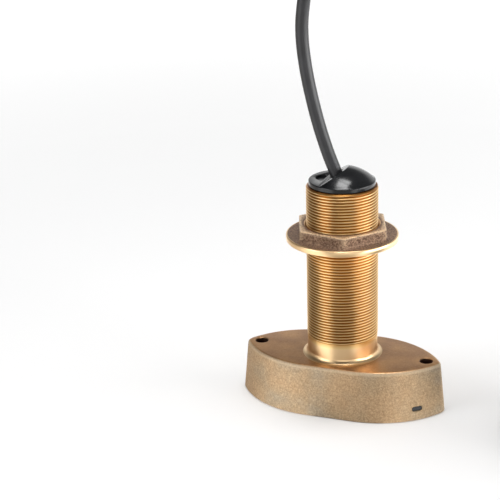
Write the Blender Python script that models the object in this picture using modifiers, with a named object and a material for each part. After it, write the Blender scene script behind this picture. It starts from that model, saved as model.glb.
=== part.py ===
"""Through-hull sonar transducer: a cast bronze base with a threaded stem.

The base is an open-bottomed cup that holds the ceramic disc behind a moulded
acoustic window. A flanged hexagon nut on the stem clamps the casting to a
hull. The cable leaves a domed cap on the stem, arches over, and the length
that is left is folded into a tied hank that ends in a sealed connector.

Metres, +Z up the stem. The origin is on the stem's axis at the foot of the
base, and X runs along the base.
"""

import math

import bmesh
import bpy
from mathutils import Matrix, Vector

MM = 0.001
GAP = 0.3 * MM              # room between pieces that touch on the bench
CUT = 1.0 * MM              # how far a cutter runs past the face it opens

# Base casting
BASE_LENGTH = 114.0 * MM
BASE_WIDTH = 55.6 * MM
BASE_HEIGHT = 28.0 * MM
BASE_NOSE_RADIUS = 7.4 * MM
BASE_SIDE_LENGTH = 26.0 * MM  # the straight stretch of each side
BASE_DRAFT = 2.6 * MM       # how far the wall leans in over the full height
BASE_TOP_EDGE = 2.0 * MM
BASE_FOOT_EDGE = 0.5 * MM
BASE_WALL = 4.5 * MM
CUP_DEPTH = 22.0 * MM
SCREW_HOLE_DIAMETER = 6.8 * MM
SCREW_HOLE_INSET = 10.3 * MM
SCREW_HOLE_WALL = 3.0 * MM
SCREW_HOLE_RIM = 0.5 * MM
SLOT_LENGTH = 6.2 * MM
SLOT_HEIGHT = 2.8 * MM
SLOT_LEVEL = 6.4 * MM
SLOT_FROM_HOLE = 0.4 * MM   # nearer the middle than the screw hole's axis
SLOT_REACH = 4.0 * MM       # how far the slot's bar runs on into the cup

# Threaded stem
STEM_DIAMETER = 38.1 * MM
STEM_TOP = 123.0 * MM
STEM_WALL = 5.5 * MM
STEM_CHAMFER = 0.9 * MM
STEM_FOOT_RADIUS = 3.0 * MM
STEM_FOOT_SINK = 0.1 * MM   # the fillet runs this far under the base's top
THREAD_FOOT = 38.4 * MM     # the thread ends here, above a plain band
THREAD_RELIEF = 0.2 * MM    # the plain band is this much slimmer

# Hull nut
NUT_FLANGE_DIAMETER = 59.6 * MM
NUT_FLANGE_THICKNESS = 3.1 * MM
NUT_ACROSS_FLATS = 45.3 * MM
NUT_HEX_HEIGHT = 5.7 * MM
NUT_SEAT = 92.9 * MM        # underside of the flange where the nut was left
NUT_TURN = -70.5            # degrees, direction of one corner
NUT_CORNER_RADIUS = 0.9 * MM
NUT_FOOT_RADIUS = 1.2 * MM
NUT_BORE_CHAMFER = 1.0 * MM
NUT_RIM_EDGE = 0.3 * MM

# Cap on the stem
CAP_DIAMETER = 35.3 * MM
CAP_RIM_HEIGHT = 2.4 * MM
CAP_RIM_RADIUS = 0.5 * MM
CAP_DOME_HEIGHT = 6.9 * MM
CAP_PLUG_LENGTH = 10.0 * MM
CAP_FACE_SLOPE = 33.0       # degrees from level, the face that the cable comes out of
CAP_FACE_FOOT = 7.3 * MM    # from the axis to the foot of that face, where the flat begins
CAP_FACE_TURN = 180.0       # degrees, the way the sloping face looks
CAP_MOUTH = 0.7 * MM        # how much wider than the cable its hole opens
CAP_MOUTH_FOOT = 2.5 * MM   # above the stem's top, where the wide mouth begins
CAP_TROUGH_RADIUS = 5.5 * MM
CAP_TROUGH_DEPTH = 1.2 * MM
CAP_TROUGH_SHELF = 1.6 * MM
CAP_SEAL = 1.6 * MM

# Acoustic parts in the cup
WINDOW_FACE = 3.2 * MM
WINDOW_DEPTH = 10.0 * MM
WINDOW_RECESS = 0.2 * MM
WINDOW_SIDE = 2.8 * MM      # urethane between the cup and the disc's cork
DISC_THICKNESS = 10.0 * MM
DISC_EDGE = 0.4 * MM
CORK_RING = 1.7 * MM
CORK_PAD = 3.5 * MM
RESIN_COVER = 1.1 * MM      # resin over the cork pad
LEAD_HOLE_DIAMETER = 5.0 * MM
LEAD_DIAMETER = 1.2 * MM
LEAD_SPACING = 2.4 * MM
THERMISTOR_DIAMETER = 4.0 * MM
THERMISTOR_LENGTH = 6.5 * MM
THERMISTOR_FACE = 1.6 * MM
THERMISTOR_LEAD = 1.4 * MM

# Cable, hank and ties
CABLE_DIAMETER = 7.0 * MM
CABLE_LEAN = 24.0           # degrees from upright where it leaves the cap
CABLE_TURN = 169.5          # degrees, the way it leans
CABLE_END = 24.5 * MM       # foot of the cable inside the stem
COIL_X = 189.0 * MM
COIL_Y = 0.0 * MM
COIL_RUN = 105.0 * MM       # straight part of each turn
COIL_MEAN_RADIUS = 31.5 * MM  # of the folds at both ends
COIL_TURNS_WIDE = 4
COIL_TURNS_HIGH = 6
TIE_WIDTH = 8.0 * MM
TIE_THICKNESS = 1.2 * MM
TIE_PLACE = 18.0 * MM       # of both ties, from the middle of the runs

# Connector on the cable's end, measured along its own axis from the boot
CONNECTOR_X = 300.0 * MM
CONNECTOR_Y = 5.5 * MM
COLLAR_DIAMETER = 22.0 * MM
COLLAR_LENGTH = 16.0 * MM
COLLAR_SHOULDER = 5.0 * MM
COLLAR_THREAD_DIAMETER = 18.4 * MM
COLLAR_FLUTES = 12
COLLAR_FLUTE_DEPTH = 0.7 * MM
COLLAR_FLOOR_CLEARANCE = 0.2 * MM
BARREL_DIAMETER = 13.6 * MM
BARREL_LENGTH = 20.0 * MM
BARREL_WALL = 1.3 * MM
BARREL_FLANGE = 3.0 * MM
BARREL_FLANGE_DIAMETER = 17.0 * MM
BARREL_SEAL = 1.4 * MM
INSERT_LENGTH = 9.0 * MM
INSERT_RECESS = 5.0 * MM
CONTACT_COUNT = 6
CONTACT_CIRCLE = 6.0 * MM
CONTACT_DIAMETER = 1.5 * MM
BACK_NUT_ACROSS = 17.0 * MM  # over the corners
BACK_NUT_LENGTH = 8.0 * MM
BOOT_LENGTH = 26.0 * MM
BOOT_WALL = 1.1 * MM
BOOT_FRONT_DIAMETER = 14.0 * MM

ROUND_STEPS = 64
MEDIUM_STEPS = 48
SMALL_STEPS = 32
PIPE_STEPS = 16
PIN_STEPS = 12

# Sizes that follow from the ones above
STEM_RADIUS = STEM_DIAMETER / 2
BORE_RADIUS = STEM_RADIUS - STEM_WALL
HOLE_PLACE = BASE_LENGTH / 2 - SCREW_HOLE_INSET
HOLE_RADIUS = SCREW_HOLE_DIAMETER / 2
CUP_RADIUS = BASE_WIDTH / 2 - BASE_WALL
CUP_END = HOLE_PLACE - HOLE_RADIUS - SCREW_HOLE_WALL
CUP_SHOULDER = CUP_END - CUP_RADIUS
CABLE_RADIUS = CABLE_DIAMETER / 2
POCKET_RADIUS = CUP_RADIUS - GAP - WINDOW_SIDE
CORK_RADIUS = POCKET_RADIUS - GAP
DISC_RADIUS = CORK_RADIUS - CORK_RING - GAP
THERMISTOR_PLACE = (POCKET_RADIUS + CUP_END) / 2
DISC_FOOT = WINDOW_RECESS + WINDOW_FACE + GAP
DISC_TOP = DISC_FOOT + DISC_THICKNESS
PAD_FOOT = DISC_TOP + GAP
PAD_TOP = PAD_FOOT + CORK_PAD
RESIN_FOOT = WINDOW_DEPTH + GAP
RESIN_TOP = PAD_TOP + GAP + RESIN_COVER
COIL_CENTRE = Vector((COIL_X, COIL_Y, 0.0))
COIL_WIDTH = COIL_TURNS_WIDE * CABLE_DIAMETER
COIL_HEIGHT = COIL_TURNS_HIGH * CABLE_DIAMETER
COIL_FOOT = TIE_THICKNESS + 2 * GAP
COIL_TOP = COIL_FOOT + COIL_HEIGHT
COIL_INNER = COIL_MEAN_RADIUS - COIL_WIDTH / 2
COIL_OUTER = COIL_MEAN_RADIUS + COIL_WIDTH / 2
CONNECTOR_LEVEL = COLLAR_DIAMETER / 2 + COLLAR_FLOOR_CLEARANCE
CONNECTOR_ENTRY = Vector((CONNECTOR_X, CONNECTOR_Y, CONNECTOR_LEVEL))
BACK_NUT_START = BOOT_LENGTH + GAP
BARREL_START = BACK_NUT_START + BACK_NUT_LENGTH + GAP
BARREL_END = BARREL_START + BARREL_LENGTH
COLLAR_START = BARREL_START + BARREL_FLANGE + GAP


# Scene and materials
def clear_scene():
    for leftover in list(bpy.data.objects):
        bpy.data.objects.remove(leftover, do_unlink=True)


def new_collection(name):
    collection = bpy.data.collections.new(name)
    bpy.context.scene.collection.children.link(collection)
    return collection


def new_material(name, colour, roughness, metallic=0.0):
    material = bpy.data.materials.new(name)
    material.use_nodes = True
    shader = material.node_tree.nodes["Principled BSDF"]
    shader.inputs["Base Color"].default_value = (*colour, 1.0)
    shader.inputs["Roughness"].default_value = roughness
    shader.inputs["Metallic"].default_value = metallic
    return material


clear_scene()
PART = new_collection("sonar_transducer")
CUTTERS = new_collection("cutters")

CAST_BRONZE = new_material("cast_bronze", (0.43, 0.29, 0.15), 0.45, 1.0)
NUT_BRONZE = new_material("as_cast_nut_bronze", (0.27, 0.16, 0.11), 0.6, 1.0)
GLOSS_BLACK = new_material("gloss_black_plastic", (0.01, 0.01, 0.011), 0.12)
URETHANE = new_material("dark_urethane", (0.04, 0.05, 0.06), 0.45)
CERAMIC = new_material("silvered_ceramic", (0.62, 0.6, 0.56), 0.35)
CORK = new_material("cork", (0.35, 0.2, 0.1), 0.9)
RESIN = new_material("amber_resin", (0.3, 0.19, 0.08), 0.3)
JACKET = new_material("cable_jacket", (0.07, 0.07, 0.072), 0.45)
RUBBER = new_material("black_rubber", (0.02, 0.02, 0.02), 0.65)
WIRE_RED = new_material("red_insulation", (0.5, 0.03, 0.02), 0.4)
WIRE_WHITE = new_material("white_insulation", (0.7, 0.7, 0.68), 0.4)
BLACK_NYLON = new_material("black_nylon", (0.03, 0.03, 0.032), 0.5)
PLATED_BRASS = new_material("plated_brass", (0.6, 0.6, 0.58), 0.3, 1.0)
GOLD_CONTACT = new_material("gold_contact", (0.8, 0.55, 0.2), 0.25, 1.0)


# Small modelling tools
def link(obj, material):
    """Puts a finished piece in the part's collection with its material."""
    obj.data.materials.clear()
    obj.data.materials.append(material)
    PART.objects.link(obj)
    return obj


def keep_as_cutter(obj):
    CUTTERS.objects.link(obj)
    obj.hide_render = True
    obj.display_type = "WIRE"
    return obj


def mesh_object(name, mesh_data):
    mesh = bpy.data.meshes.new(name)
    mesh_data.to_mesh(mesh)
    mesh_data.free()
    return bpy.data.objects.new(name, mesh)


def smooth(obj, angle=35.0):
    obj.data.shade_smooth()
    obj.data.set_sharp_from_angle(angle=math.radians(angle))
    return obj


def turned(name, profile, steps=ROUND_STEPS, closed=False):
    """Spins a profile of (radius, height) points, outer side top to bottom."""
    mesh = bmesh.new()
    points = [mesh.verts.new((radius, 0.0, height)) for radius, height in profile]
    for start, end in zip(points, points[1:]):
        mesh.edges.new((start, end))
    if closed:
        mesh.edges.new((points[-1], points[0]))
    obj = mesh_object(name, mesh)
    screw = obj.modifiers.new("turn", "SCREW")
    screw.axis = "Z"
    screw.steps = steps
    screw.render_steps = steps
    screw.use_merge_vertices = True
    screw.merge_threshold = 0.00001
    screw.use_smooth_shade = True
    return obj


def arc(centre_x, centre_y, radius, start, end, count):
    """Points on an arc, angles in degrees."""
    points = []
    for index in range(count + 1):
        angle = math.radians(start + (end - start) * index / count)
        points.append((centre_x + radius * math.cos(angle), centre_y + radius * math.sin(angle)))
    return points


def stadium(shoulder, radius, count=16):
    """Outline with two round ends, a shoulder's length from the middle."""
    right = arc(shoulder, 0.0, radius, -90.0, 90.0, count)
    left = arc(-shoulder, 0.0, radius, 90.0, 270.0, count)
    return right + left


def loft(name, rings):
    """Closes a stack of outlines with equal point counts, lowest first."""
    mesh = bmesh.new()
    loops = []
    for outline, height in rings:
        loops.append([mesh.verts.new((x, y, height)) for x, y in outline])
    for lower, upper in zip(loops, loops[1:]):
        count = len(lower)
        for index in range(count):
            following = (index + 1) % count
            mesh.faces.new((lower[index], lower[following], upper[following], upper[index]))
    mesh.faces.new(list(reversed(loops[0])))
    mesh.faces.new(loops[-1])
    return mesh_object(name, mesh)


def cylinder(name, radius, low, high, place=(0.0, 0.0), steps=SMALL_STEPS):
    """Upright cylinder between two levels."""
    mesh = bmesh.new()
    middle = Matrix.Translation((place[0], place[1], (low + high) / 2))
    bmesh.ops.create_cone(
        mesh, cap_ends=True, segments=steps, radius1=radius, radius2=radius,
        depth=high - low, matrix=middle)
    return mesh_object(name, mesh)


def place(obj, matrix):
    """Moves the mesh itself, so that the object stays unturned."""
    obj.data.transform(matrix)
    return obj


def boolean(obj, other, operation):
    modifier = obj.modifiers.new(operation.lower(), "BOOLEAN")
    modifier.operation = operation
    modifier.solver = "EXACT"
    modifier.object = keep_as_cutter(other)
    other.parent = obj
    return obj


def cut(obj, other):
    return boolean(obj, other, "DIFFERENCE")


def join(obj, other):
    return boolean(obj, other, "UNION")


def smooth_curve(route, spacing):
    """Points at an even spacing along a smooth curve through the route."""
    route = [Vector(point) for point in route]
    padded = [2 * route[0] - route[1]] + route + [2 * route[-1] - route[-2]]
    fine = []
    for index in range(1, len(padded) - 2):
        before, start, end, after = padded[index - 1:index + 3]
        for step in range(24):
            t = step / 24
            fine.append(0.5 * (
                2 * start + (end - before) * t
                + (2 * before - 5 * start + 4 * end - after) * t ** 2
                + (3 * start - before - 3 * end + after) * t ** 3))
    fine.append(route[-1])
    lengths = [0.0]
    for start, end in zip(fine, fine[1:]):
        lengths.append(lengths[-1] + (end - start).length)
    count = max(3, round(lengths[-1] / spacing))
    points = []
    index = 0
    for step in range(count + 1):
        distance = lengths[-1] * step / count
        while index < len(fine) - 2 and lengths[index + 1] < distance:
            index += 1
        stretch = lengths[index + 1] - lengths[index]
        share = min(1.0, (distance - lengths[index]) / stretch)
        points.append(fine[index].lerp(fine[index + 1], share))
    return points


def tube(name, points, diameter, material, resolution=3):
    """Round tube along a list of points, with flat closed ends."""
    curve = bpy.data.curves.new(name, "CURVE")
    curve.dimensions = "3D"
    curve.bevel_depth = diameter / 2
    curve.bevel_resolution = resolution
    curve.use_fill_caps = True
    spline = curve.splines.new("POLY")
    spline.points.add(len(points) - 1)
    for target, point in zip(spline.points, points):
        target.co = (*point, 1.0)
    return link(bpy.data.objects.new(name, curve), material)


# Base casting and threaded stem, one bronze casting
def flank():
    """Centre, radius and first bearing of the arc from a nose to a straight side.

    The arc touches the nose arc and the side, so its size follows from theirs.
    """
    along = BASE_LENGTH / 2 - BASE_NOSE_RADIUS - BASE_SIDE_LENGTH / 2
    across = BASE_WIDTH / 2 - BASE_NOSE_RADIUS
    bearing = math.pi / 2 - 2 * math.atan(across / along)
    offset = along / math.cos(bearing)
    centre = Vector((BASE_SIDE_LENGTH / 2, -offset * math.sin(bearing), 0.0))
    return centre, BASE_NOSE_RADIUS + offset, math.degrees(bearing)


def base_outline(inset):
    """Outline of the base, moved in all round as a drafted wall does."""
    centre, radius, bearing = flank()
    nose = BASE_LENGTH / 2 - BASE_NOSE_RADIUS
    quarter = arc(nose, 0.0, BASE_NOSE_RADIUS - inset, 0.0, bearing, 5)[:-1]
    quarter += arc(centre.x, centre.y, radius - inset, bearing, 90.0, 10)
    half = quarter + [(-x, y) for x, y in reversed(quarter)]
    return half + [(-x, -y) for x, y in half[1:-1]]


def wall_inset(height):
    """How far the drafted outer wall has come in at a height."""
    return BASE_DRAFT * height / BASE_HEIGHT


def slot_bar(name, side, length, height, recess, reach):
    """Round-ended bar in a slot, from below the flank's face to inside the cup."""
    centre, flank_radius, _ = flank()
    bearing = math.acos((HOLE_PLACE - SLOT_FROM_HOLE - centre.x) / flank_radius)
    outward = Vector((math.cos(bearing), math.sin(bearing), 0.0))
    face = centre + outward * flank_radius
    to_face = face - Vector((CUP_SHOULDER, 0.0, 0.0))
    along = to_face.dot(outward)
    aside = (to_face - outward * along).length
    cup_wall = along - math.sqrt(CUP_RADIUS ** 2 - aside ** 2)
    radius = height / 2
    outline = stadium(length / 2 - radius, radius, 8)
    bar = loft(name, [(outline, -cup_wall - reach), (outline, -recess)])
    mirror = Vector((side, -side, 1.0))
    normal, face = outward * mirror, face * mirror
    up = Vector((0.0, 0.0, 1.0))
    turn = Matrix((up.cross(normal), up, normal)).transposed().to_4x4()
    return place(bar, Matrix.Translation(face + up * SLOT_LEVEL) @ turn)


def make_housing():
    wall_top = BASE_HEIGHT - BASE_TOP_EDGE
    rings = [(base_outline(BASE_FOOT_EDGE), 0.0), (base_outline(wall_inset(BASE_FOOT_EDGE)), BASE_FOOT_EDGE)]
    edge = arc(wall_inset(wall_top) + BASE_TOP_EDGE, wall_top, BASE_TOP_EDGE, 180.0, 90.0, 4)
    rings += [(base_outline(inset), height) for inset, height in edge]
    housing = loft("housing", rings)

    band = STEM_RADIUS - THREAD_RELIEF
    foot_level = BASE_HEIGHT + STEM_FOOT_RADIUS - STEM_FOOT_SINK
    foot = arc(band + STEM_FOOT_RADIUS, foot_level, STEM_FOOT_RADIUS, 180.0, 270.0, 5)
    outer = [(0.0, STEM_TOP), (STEM_RADIUS - STEM_CHAMFER, STEM_TOP)]
    outer += [(STEM_RADIUS, STEM_TOP - STEM_CHAMFER), (STEM_RADIUS, THREAD_FOOT)]
    outer += [(band, THREAD_FOOT - THREAD_RELIEF)] + foot
    buried = (BASE_HEIGHT + CUP_DEPTH) / 2
    outer += [(foot[-1][0], buried), (0.0, buried)]
    join(housing, turned("stem", outer))

    cup = stadium(CUP_SHOULDER, CUP_RADIUS)
    cut(housing, loft("cup", [(cup, -CUT), (cup, CUP_DEPTH)]))
    cut(housing, cylinder("bore", BORE_RADIUS, CUP_DEPTH - CUT, STEM_TOP + CUT, steps=ROUND_STEPS))
    for side in (1, -1):
        drill = [(0.0, BASE_HEIGHT + CUT), (HOLE_RADIUS + SCREW_HOLE_RIM + CUT, BASE_HEIGHT + CUT)]
        drill += [(HOLE_RADIUS, BASE_HEIGHT - SCREW_HOLE_RIM), (HOLE_RADIUS, -CUT), (0.0, -CUT)]
        hole = turned("screw_hole", drill, SMALL_STEPS)
        hole.location.x = side * HOLE_PLACE
        cut(housing, hole)
        cut(housing, slot_bar("slot", side, SLOT_LENGTH, SLOT_HEIGHT, -CUT, SLOT_REACH))
    return link(smooth(housing), CAST_BRONZE)


# Hull nut, a hexagon on a round flange
def hexagon(outset):
    """Hexagon with round corners, one of them on +X."""
    centre = (NUT_ACROSS_FLATS / 2 - NUT_CORNER_RADIUS) / math.cos(math.radians(30.0))
    outline = []
    for corner in range(6):
        turn = math.radians(60.0 * corner)
        middle = (centre * math.cos(turn), centre * math.sin(turn))
        outline += arc(*middle, NUT_CORNER_RADIUS + outset, 60.0 * corner - 30.0, 60.0 * corner + 30.0, 3)
    return outline


def make_hull_nut():
    flange_radius = NUT_FLANGE_DIAMETER / 2
    hex_foot = NUT_SEAT + NUT_FLANGE_THICKNESS
    hex_top = hex_foot + NUT_HEX_HEIGHT
    edge = NUT_RIM_EDGE
    flange = [(0.0, hex_foot), (flange_radius - edge, hex_foot), (flange_radius, hex_foot - edge)]
    flange += [(flange_radius, NUT_SEAT + edge), (flange_radius - edge, NUT_SEAT), (0.0, NUT_SEAT)]
    nut = turned("hull_nut", flange)

    soft_top = NUT_CORNER_RADIUS / 2
    rings = [(hexagon(NUT_FOOT_RADIUS), (NUT_SEAT + hex_foot) / 2)]
    for outset, height in arc(NUT_FOOT_RADIUS, hex_foot + NUT_FOOT_RADIUS, NUT_FOOT_RADIUS, 270.0, 180.0, 4):
        rings.append((hexagon(outset), height))
    for outset, height in arc(-soft_top, hex_top - soft_top, soft_top, 0.0, 90.0, 3):
        rings.append((hexagon(outset), height))
    join(nut, place(loft("hexagon", rings), Matrix.Rotation(math.radians(NUT_TURN), 4, "Z")))

    bore = STEM_RADIUS + GAP
    mouth = bore + NUT_BORE_CHAMFER + CUT
    lead = [(0.0, hex_top + CUT), (mouth, hex_top + CUT), (bore, hex_top - NUT_BORE_CHAMFER)]
    lead += [(bore, NUT_SEAT + NUT_BORE_CHAMFER), (mouth, NUT_SEAT - CUT), (0.0, NUT_SEAT - CUT)]
    cut(nut, turned("nut_bore", lead))
    return link(smooth(nut, 30.0), NUT_BRONZE)


# Cap: a plug in the bore, a rim on the stem and a dome cut off by a sloping face and a flat
def lean_direction():
    turn = math.radians(CABLE_TURN)
    return Vector((math.cos(turn), math.sin(turn), 0.0))


def lean_point(across, height):
    """Point in the upright plane that the cable leans in."""
    return lean_direction() * across + Vector((0.0, 0.0, height))


# Distances across that plane and heights, from the cap to over the top
CABLE_ROUTE = (
    (0.2, 121.0), (4.2, 130.0), (8.3, 139.2), (13.3, 153.0), (17.6, 168.0), (20.9, 183.0),
    (22.8, 198.0), (22.4, 212.0), (18.6, 231.0), (9.5, 250.0), (-5.0, 266.0), (-24.0, 277.0),
    (-46.0, 281.5), (-68.0, 278.5), (-89.0, 268.0), (-107.0, 250.5), (-120.0, 227.0))
# The same cable on its way down to the hank, as places in the part's frame
CABLE_DROP = (
    (121.0, -25.5, 200.0), (121.4, -29.5, 170.0), (119.4, -33.5, 141.0), (115.8, -36.8, 114.0),
    (111.0, -38.0, 90.0), (105.9, -33.5, 69.5), (102.4, -22.0, 55.4), (101.4, -7.4, 48.8),
    (101.8, 7.4, 47.6), (107.1, 19.9, 47.6), (116.6, 29.4, 47.6))
# The last of the cable, from the hank's bottom turn to the connector
TAIL_ROUTE = (
    (264.6, 43.5, 5.3), (274.4, 38.5, 5.3), (284.0, 33.3, 5.9), (292.6, 26.6, 7.5),
    (298.0, 17.9, 9.5))


def cable_axis_at(height):
    """The cable's axis inside the cap, where it runs straight."""
    across, level = CABLE_ROUTE[0]
    return lean_point(across * MM + (height - level * MM) * math.tan(math.radians(CABLE_LEAN)), height)


def make_stem_cap():
    rim_foot = STEM_TOP + GAP
    rim_top = rim_foot + CAP_RIM_HEIGHT
    rim_radius = CAP_DIAMETER / 2
    dome_radius = rim_radius - CAP_RIM_RADIUS
    sphere = (dome_radius ** 2 + CAP_DOME_HEIGHT ** 2) / (2 * CAP_DOME_HEIGHT)
    foot_angle = math.degrees(math.asin(dome_radius / sphere))
    dome = [(0.0, rim_top + CAP_DOME_HEIGHT)]
    dome += arc(0.0, rim_top + CAP_DOME_HEIGHT - sphere, sphere, 90.0 - foot_angle / 8, 90.0 - foot_angle, 7)
    rim = arc(rim_radius - CAP_RIM_RADIUS, rim_top - CAP_RIM_RADIUS, CAP_RIM_RADIUS, 60.0, 0.0, 2)
    plug_radius = BORE_RADIUS - GAP
    plug_foot = STEM_TOP - CAP_PLUG_LENGTH
    seal_level = STEM_TOP - CAP_PLUG_LENGTH / 2
    groove = CAP_SEAL / 2 + GAP
    groove_floor = BORE_RADIUS - CAP_SEAL - 2 * GAP
    profile = dome + rim + [(rim_radius, rim_foot), (plug_radius, rim_foot)]
    profile += [(plug_radius, seal_level + groove), (groove_floor, seal_level + groove)]
    profile += [(groove_floor, seal_level - groove), (plug_radius, seal_level - groove)]
    profile += [(plug_radius, plug_foot), (0.0, plug_foot)]
    cap = turned("stem_cap", profile)

    reach = CAP_DIAMETER
    crown = rim_top + CAP_DOME_HEIGHT + CUT
    face_run = (crown - rim_top) / math.tan(math.radians(CAP_FACE_SLOPE))
    side_view = [(CAP_FACE_FOOT, rim_top), (reach, rim_top), (reach, crown), (CAP_FACE_FOOT - face_run, crown)]
    face_turn = Matrix.Rotation(math.radians(CAP_FACE_TURN), 4, "Z")
    wedge = loft("cap_wedge", [(side_view, -reach), (side_view, reach)])
    cut(cap, place(wedge, face_turn @ Matrix.Rotation(math.radians(90.0), 4, "X")))
    half_disc = arc(CAP_FACE_FOOT + CAP_TROUGH_SHELF, 0.0, CAP_TROUGH_RADIUS, -90.0, 90.0, 16)
    trough = loft("cap_trough", [(half_disc, rim_top - CAP_TROUGH_DEPTH), (half_disc, rim_top + CUT)])
    cut(cap, place(trough, face_turn))
    turn = Matrix.Rotation(math.radians(CABLE_TURN), 4, "Z")
    tilt = Matrix.Rotation(math.radians(CABLE_LEAN), 4, "Y")
    seat = Matrix.Translation(cable_axis_at(STEM_TOP)) @ turn @ tilt
    through = 2 * CAP_PLUG_LENGTH
    cut(cap, place(cylinder("cable_hole", CABLE_RADIUS + GAP, -through, through), seat))
    cut(cap, place(cylinder("cable_mouth", CABLE_RADIUS + CAP_MOUTH, CAP_MOUTH_FOOT, through), seat))
    link(smooth(cap, 30.0), GLOSS_BLACK)

    ring = arc(plug_radius - CAP_SEAL / 2, seal_level, CAP_SEAL / 2, 90.0, -225.0, 7)
    link(turned("cap_seal", ring, SMALL_STEPS, closed=True), RUBBER)


# Acoustic window, moulded into the cup and keyed into both slots
def make_window():
    outline = stadium(CUP_SHOULDER, CUP_RADIUS - GAP)
    window = loft("acoustic_window", [(outline, WINDOW_RECESS), (outline, WINDOW_DEPTH)])
    cut(window, cylinder(
        "disc_pocket", POCKET_RADIUS, DISC_FOOT - GAP, WINDOW_DEPTH + CUT, steps=MEDIUM_STEPS))
    well = (THERMISTOR_PLACE, 0.0)
    well_radius = THERMISTOR_DIAMETER / 2 + GAP
    cut(window, cylinder(
        "thermistor_well", well_radius, THERMISTOR_FACE, WINDOW_DEPTH + CUT, well, PIPE_STEPS))
    for side in (1, -1):
        recess = wall_inset(SLOT_LEVEL) + GAP
        reach = SLOT_REACH - GAP
        join(window, slot_bar(
            "window_key", side, SLOT_LENGTH - 2 * GAP, SLOT_HEIGHT - 2 * GAP, recess, reach))
    link(smooth(window), URETHANE)


# Ceramic disc with its cork and the resin that holds it down
def make_acoustic_stack():
    face = DISC_RADIUS - DISC_EDGE
    disc = [(0.0, DISC_TOP), (face, DISC_TOP), (DISC_RADIUS, DISC_TOP - DISC_EDGE)]
    disc += [(DISC_RADIUS, DISC_FOOT + DISC_EDGE), (face, DISC_FOOT), (0.0, DISC_FOOT)]
    link(turned("ceramic_disc", disc, MEDIUM_STEPS), CERAMIC)

    inner = DISC_RADIUS + GAP
    ring = [(inner, DISC_TOP), (CORK_RADIUS, DISC_TOP), (CORK_RADIUS, DISC_FOOT), (inner, DISC_FOOT)]
    link(turned("isolation_ring", ring, MEDIUM_STEPS, closed=True), CORK)

    hole = LEAD_HOLE_DIAMETER / 2
    pad = [(hole, PAD_TOP), (CORK_RADIUS, PAD_TOP), (CORK_RADIUS, PAD_FOOT), (hole, PAD_FOOT)]
    link(turned("backing_pad", pad, MEDIUM_STEPS, closed=True), CORK)

    outline = stadium(CUP_SHOULDER, CUP_RADIUS - GAP)
    resin = loft("backing_resin", [(outline, RESIN_FOOT), (outline, RESIN_TOP)])
    cut(resin, cylinder(
        "stack_pocket", POCKET_RADIUS, RESIN_FOOT - CUT, PAD_TOP + GAP, steps=MEDIUM_STEPS))
    cut(resin, cylinder("lead_hole", hole, PAD_TOP, RESIN_TOP + CUT, steps=PIPE_STEPS))
    side_hole = THERMISTOR_LEAD / 2 + GAP
    well = (THERMISTOR_PLACE, 0.0)
    cut(resin, cylinder("side_lead_hole", side_hole, RESIN_FOOT - CUT, RESIN_TOP + CUT, well, PIPE_STEPS))
    link(smooth(resin), RESIN)


# Temperature sensor and the leads from the cable's end
def make_leads():
    radius = THERMISTOR_DIAMETER / 2
    foot = THERMISTOR_FACE + GAP
    top = foot + THERMISTOR_LENGTH
    nose = arc(0.0, foot + radius, radius, 0.0, -72.0, 4) + [(0.0, foot)]
    sensor = turned("thermistor", [(0.0, top), (radius, top)] + nose, PIPE_STEPS)
    sensor.location.x = THERMISTOR_PLACE
    link(sensor, RESIN)

    run = (RESIN_TOP + CUP_DEPTH) / 2
    end = CABLE_END - GAP
    side = LEAD_SPACING
    route = [
        (THERMISTOR_PLACE, 0.0, top + GAP), (THERMISTOR_PLACE, 0.0, (top + run) / 2),
        (THERMISTOR_PLACE, 0.0, run - LEAD_DIAMETER), (THERMISTOR_PLACE - 2 * LEAD_DIAMETER, 0.0, run),
        (THERMISTOR_PLACE / 2, side / 4, run), (side, side / 2, run), (0.0, side / 2, end)]
    tube("thermistor_lead", smooth_curve(route, 1.5 * THERMISTOR_LEAD), THERMISTOR_LEAD, JACKET, 2)

    for name, sign, material in (("lead_live", 1, WIRE_RED), ("lead_return", -1, WIRE_WHITE)):
        x = sign * LEAD_SPACING / 2
        y = -LEAD_SPACING / 4
        low = DISC_TOP + GAP
        route = [(x, y, low), (x, y, (low + run) / 2), (x, y, run), (x, y, end)]
        tube(name, smooth_curve(route, 2 * LEAD_DIAMETER), LEAD_DIAMETER, material, 2)


# Cable: the stretch in the stem, the free stretch and the hank
def cable_points():
    route = [lean_point(across * MM, height * MM) for across, height in CABLE_ROUTE]
    route += [Vector(point) * MM for point in CABLE_DROP]
    return smooth_curve(route, 2.2 * CABLE_DIAMETER)


def make_cable():
    tilt = math.radians(CABLE_LEAN)
    top = cable_points()[0]
    axis = lean_direction() * math.sin(tilt) + Vector((0.0, 0.0, math.cos(tilt)))
    bend = 7 * CABLE_DIAMETER
    bend_top = cable_axis_at(STEM_TOP - CAP_PLUG_LENGTH)
    aside = bend_top.dot(lean_direction()) - bend * (1 - math.cos(tilt))
    bend_foot = bend_top.z - bend * math.sin(tilt)
    bend_middle = lean_point(aside + bend * (1 - math.cos(tilt / 2)), bend_foot + bend * math.sin(tilt / 2))
    straight = (CABLE_END + bend_foot) / 2
    inner = [
        lean_point(0.0, CABLE_END), lean_point(0.0, (CABLE_END + straight) / 2),
        lean_point(aside / 2, straight), lean_point(0.9 * aside, (straight + 2 * bend_foot) / 3),
        lean_point(aside, bend_foot), bend_middle, bend_top, top - axis * GAP]
    tube("cable_inner", smooth_curve(inner, 2.2 * CABLE_DIAMETER), CABLE_DIAMETER, JACKET)
    tube("cable", cable_points(), CABLE_DIAMETER, JACKET)


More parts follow.
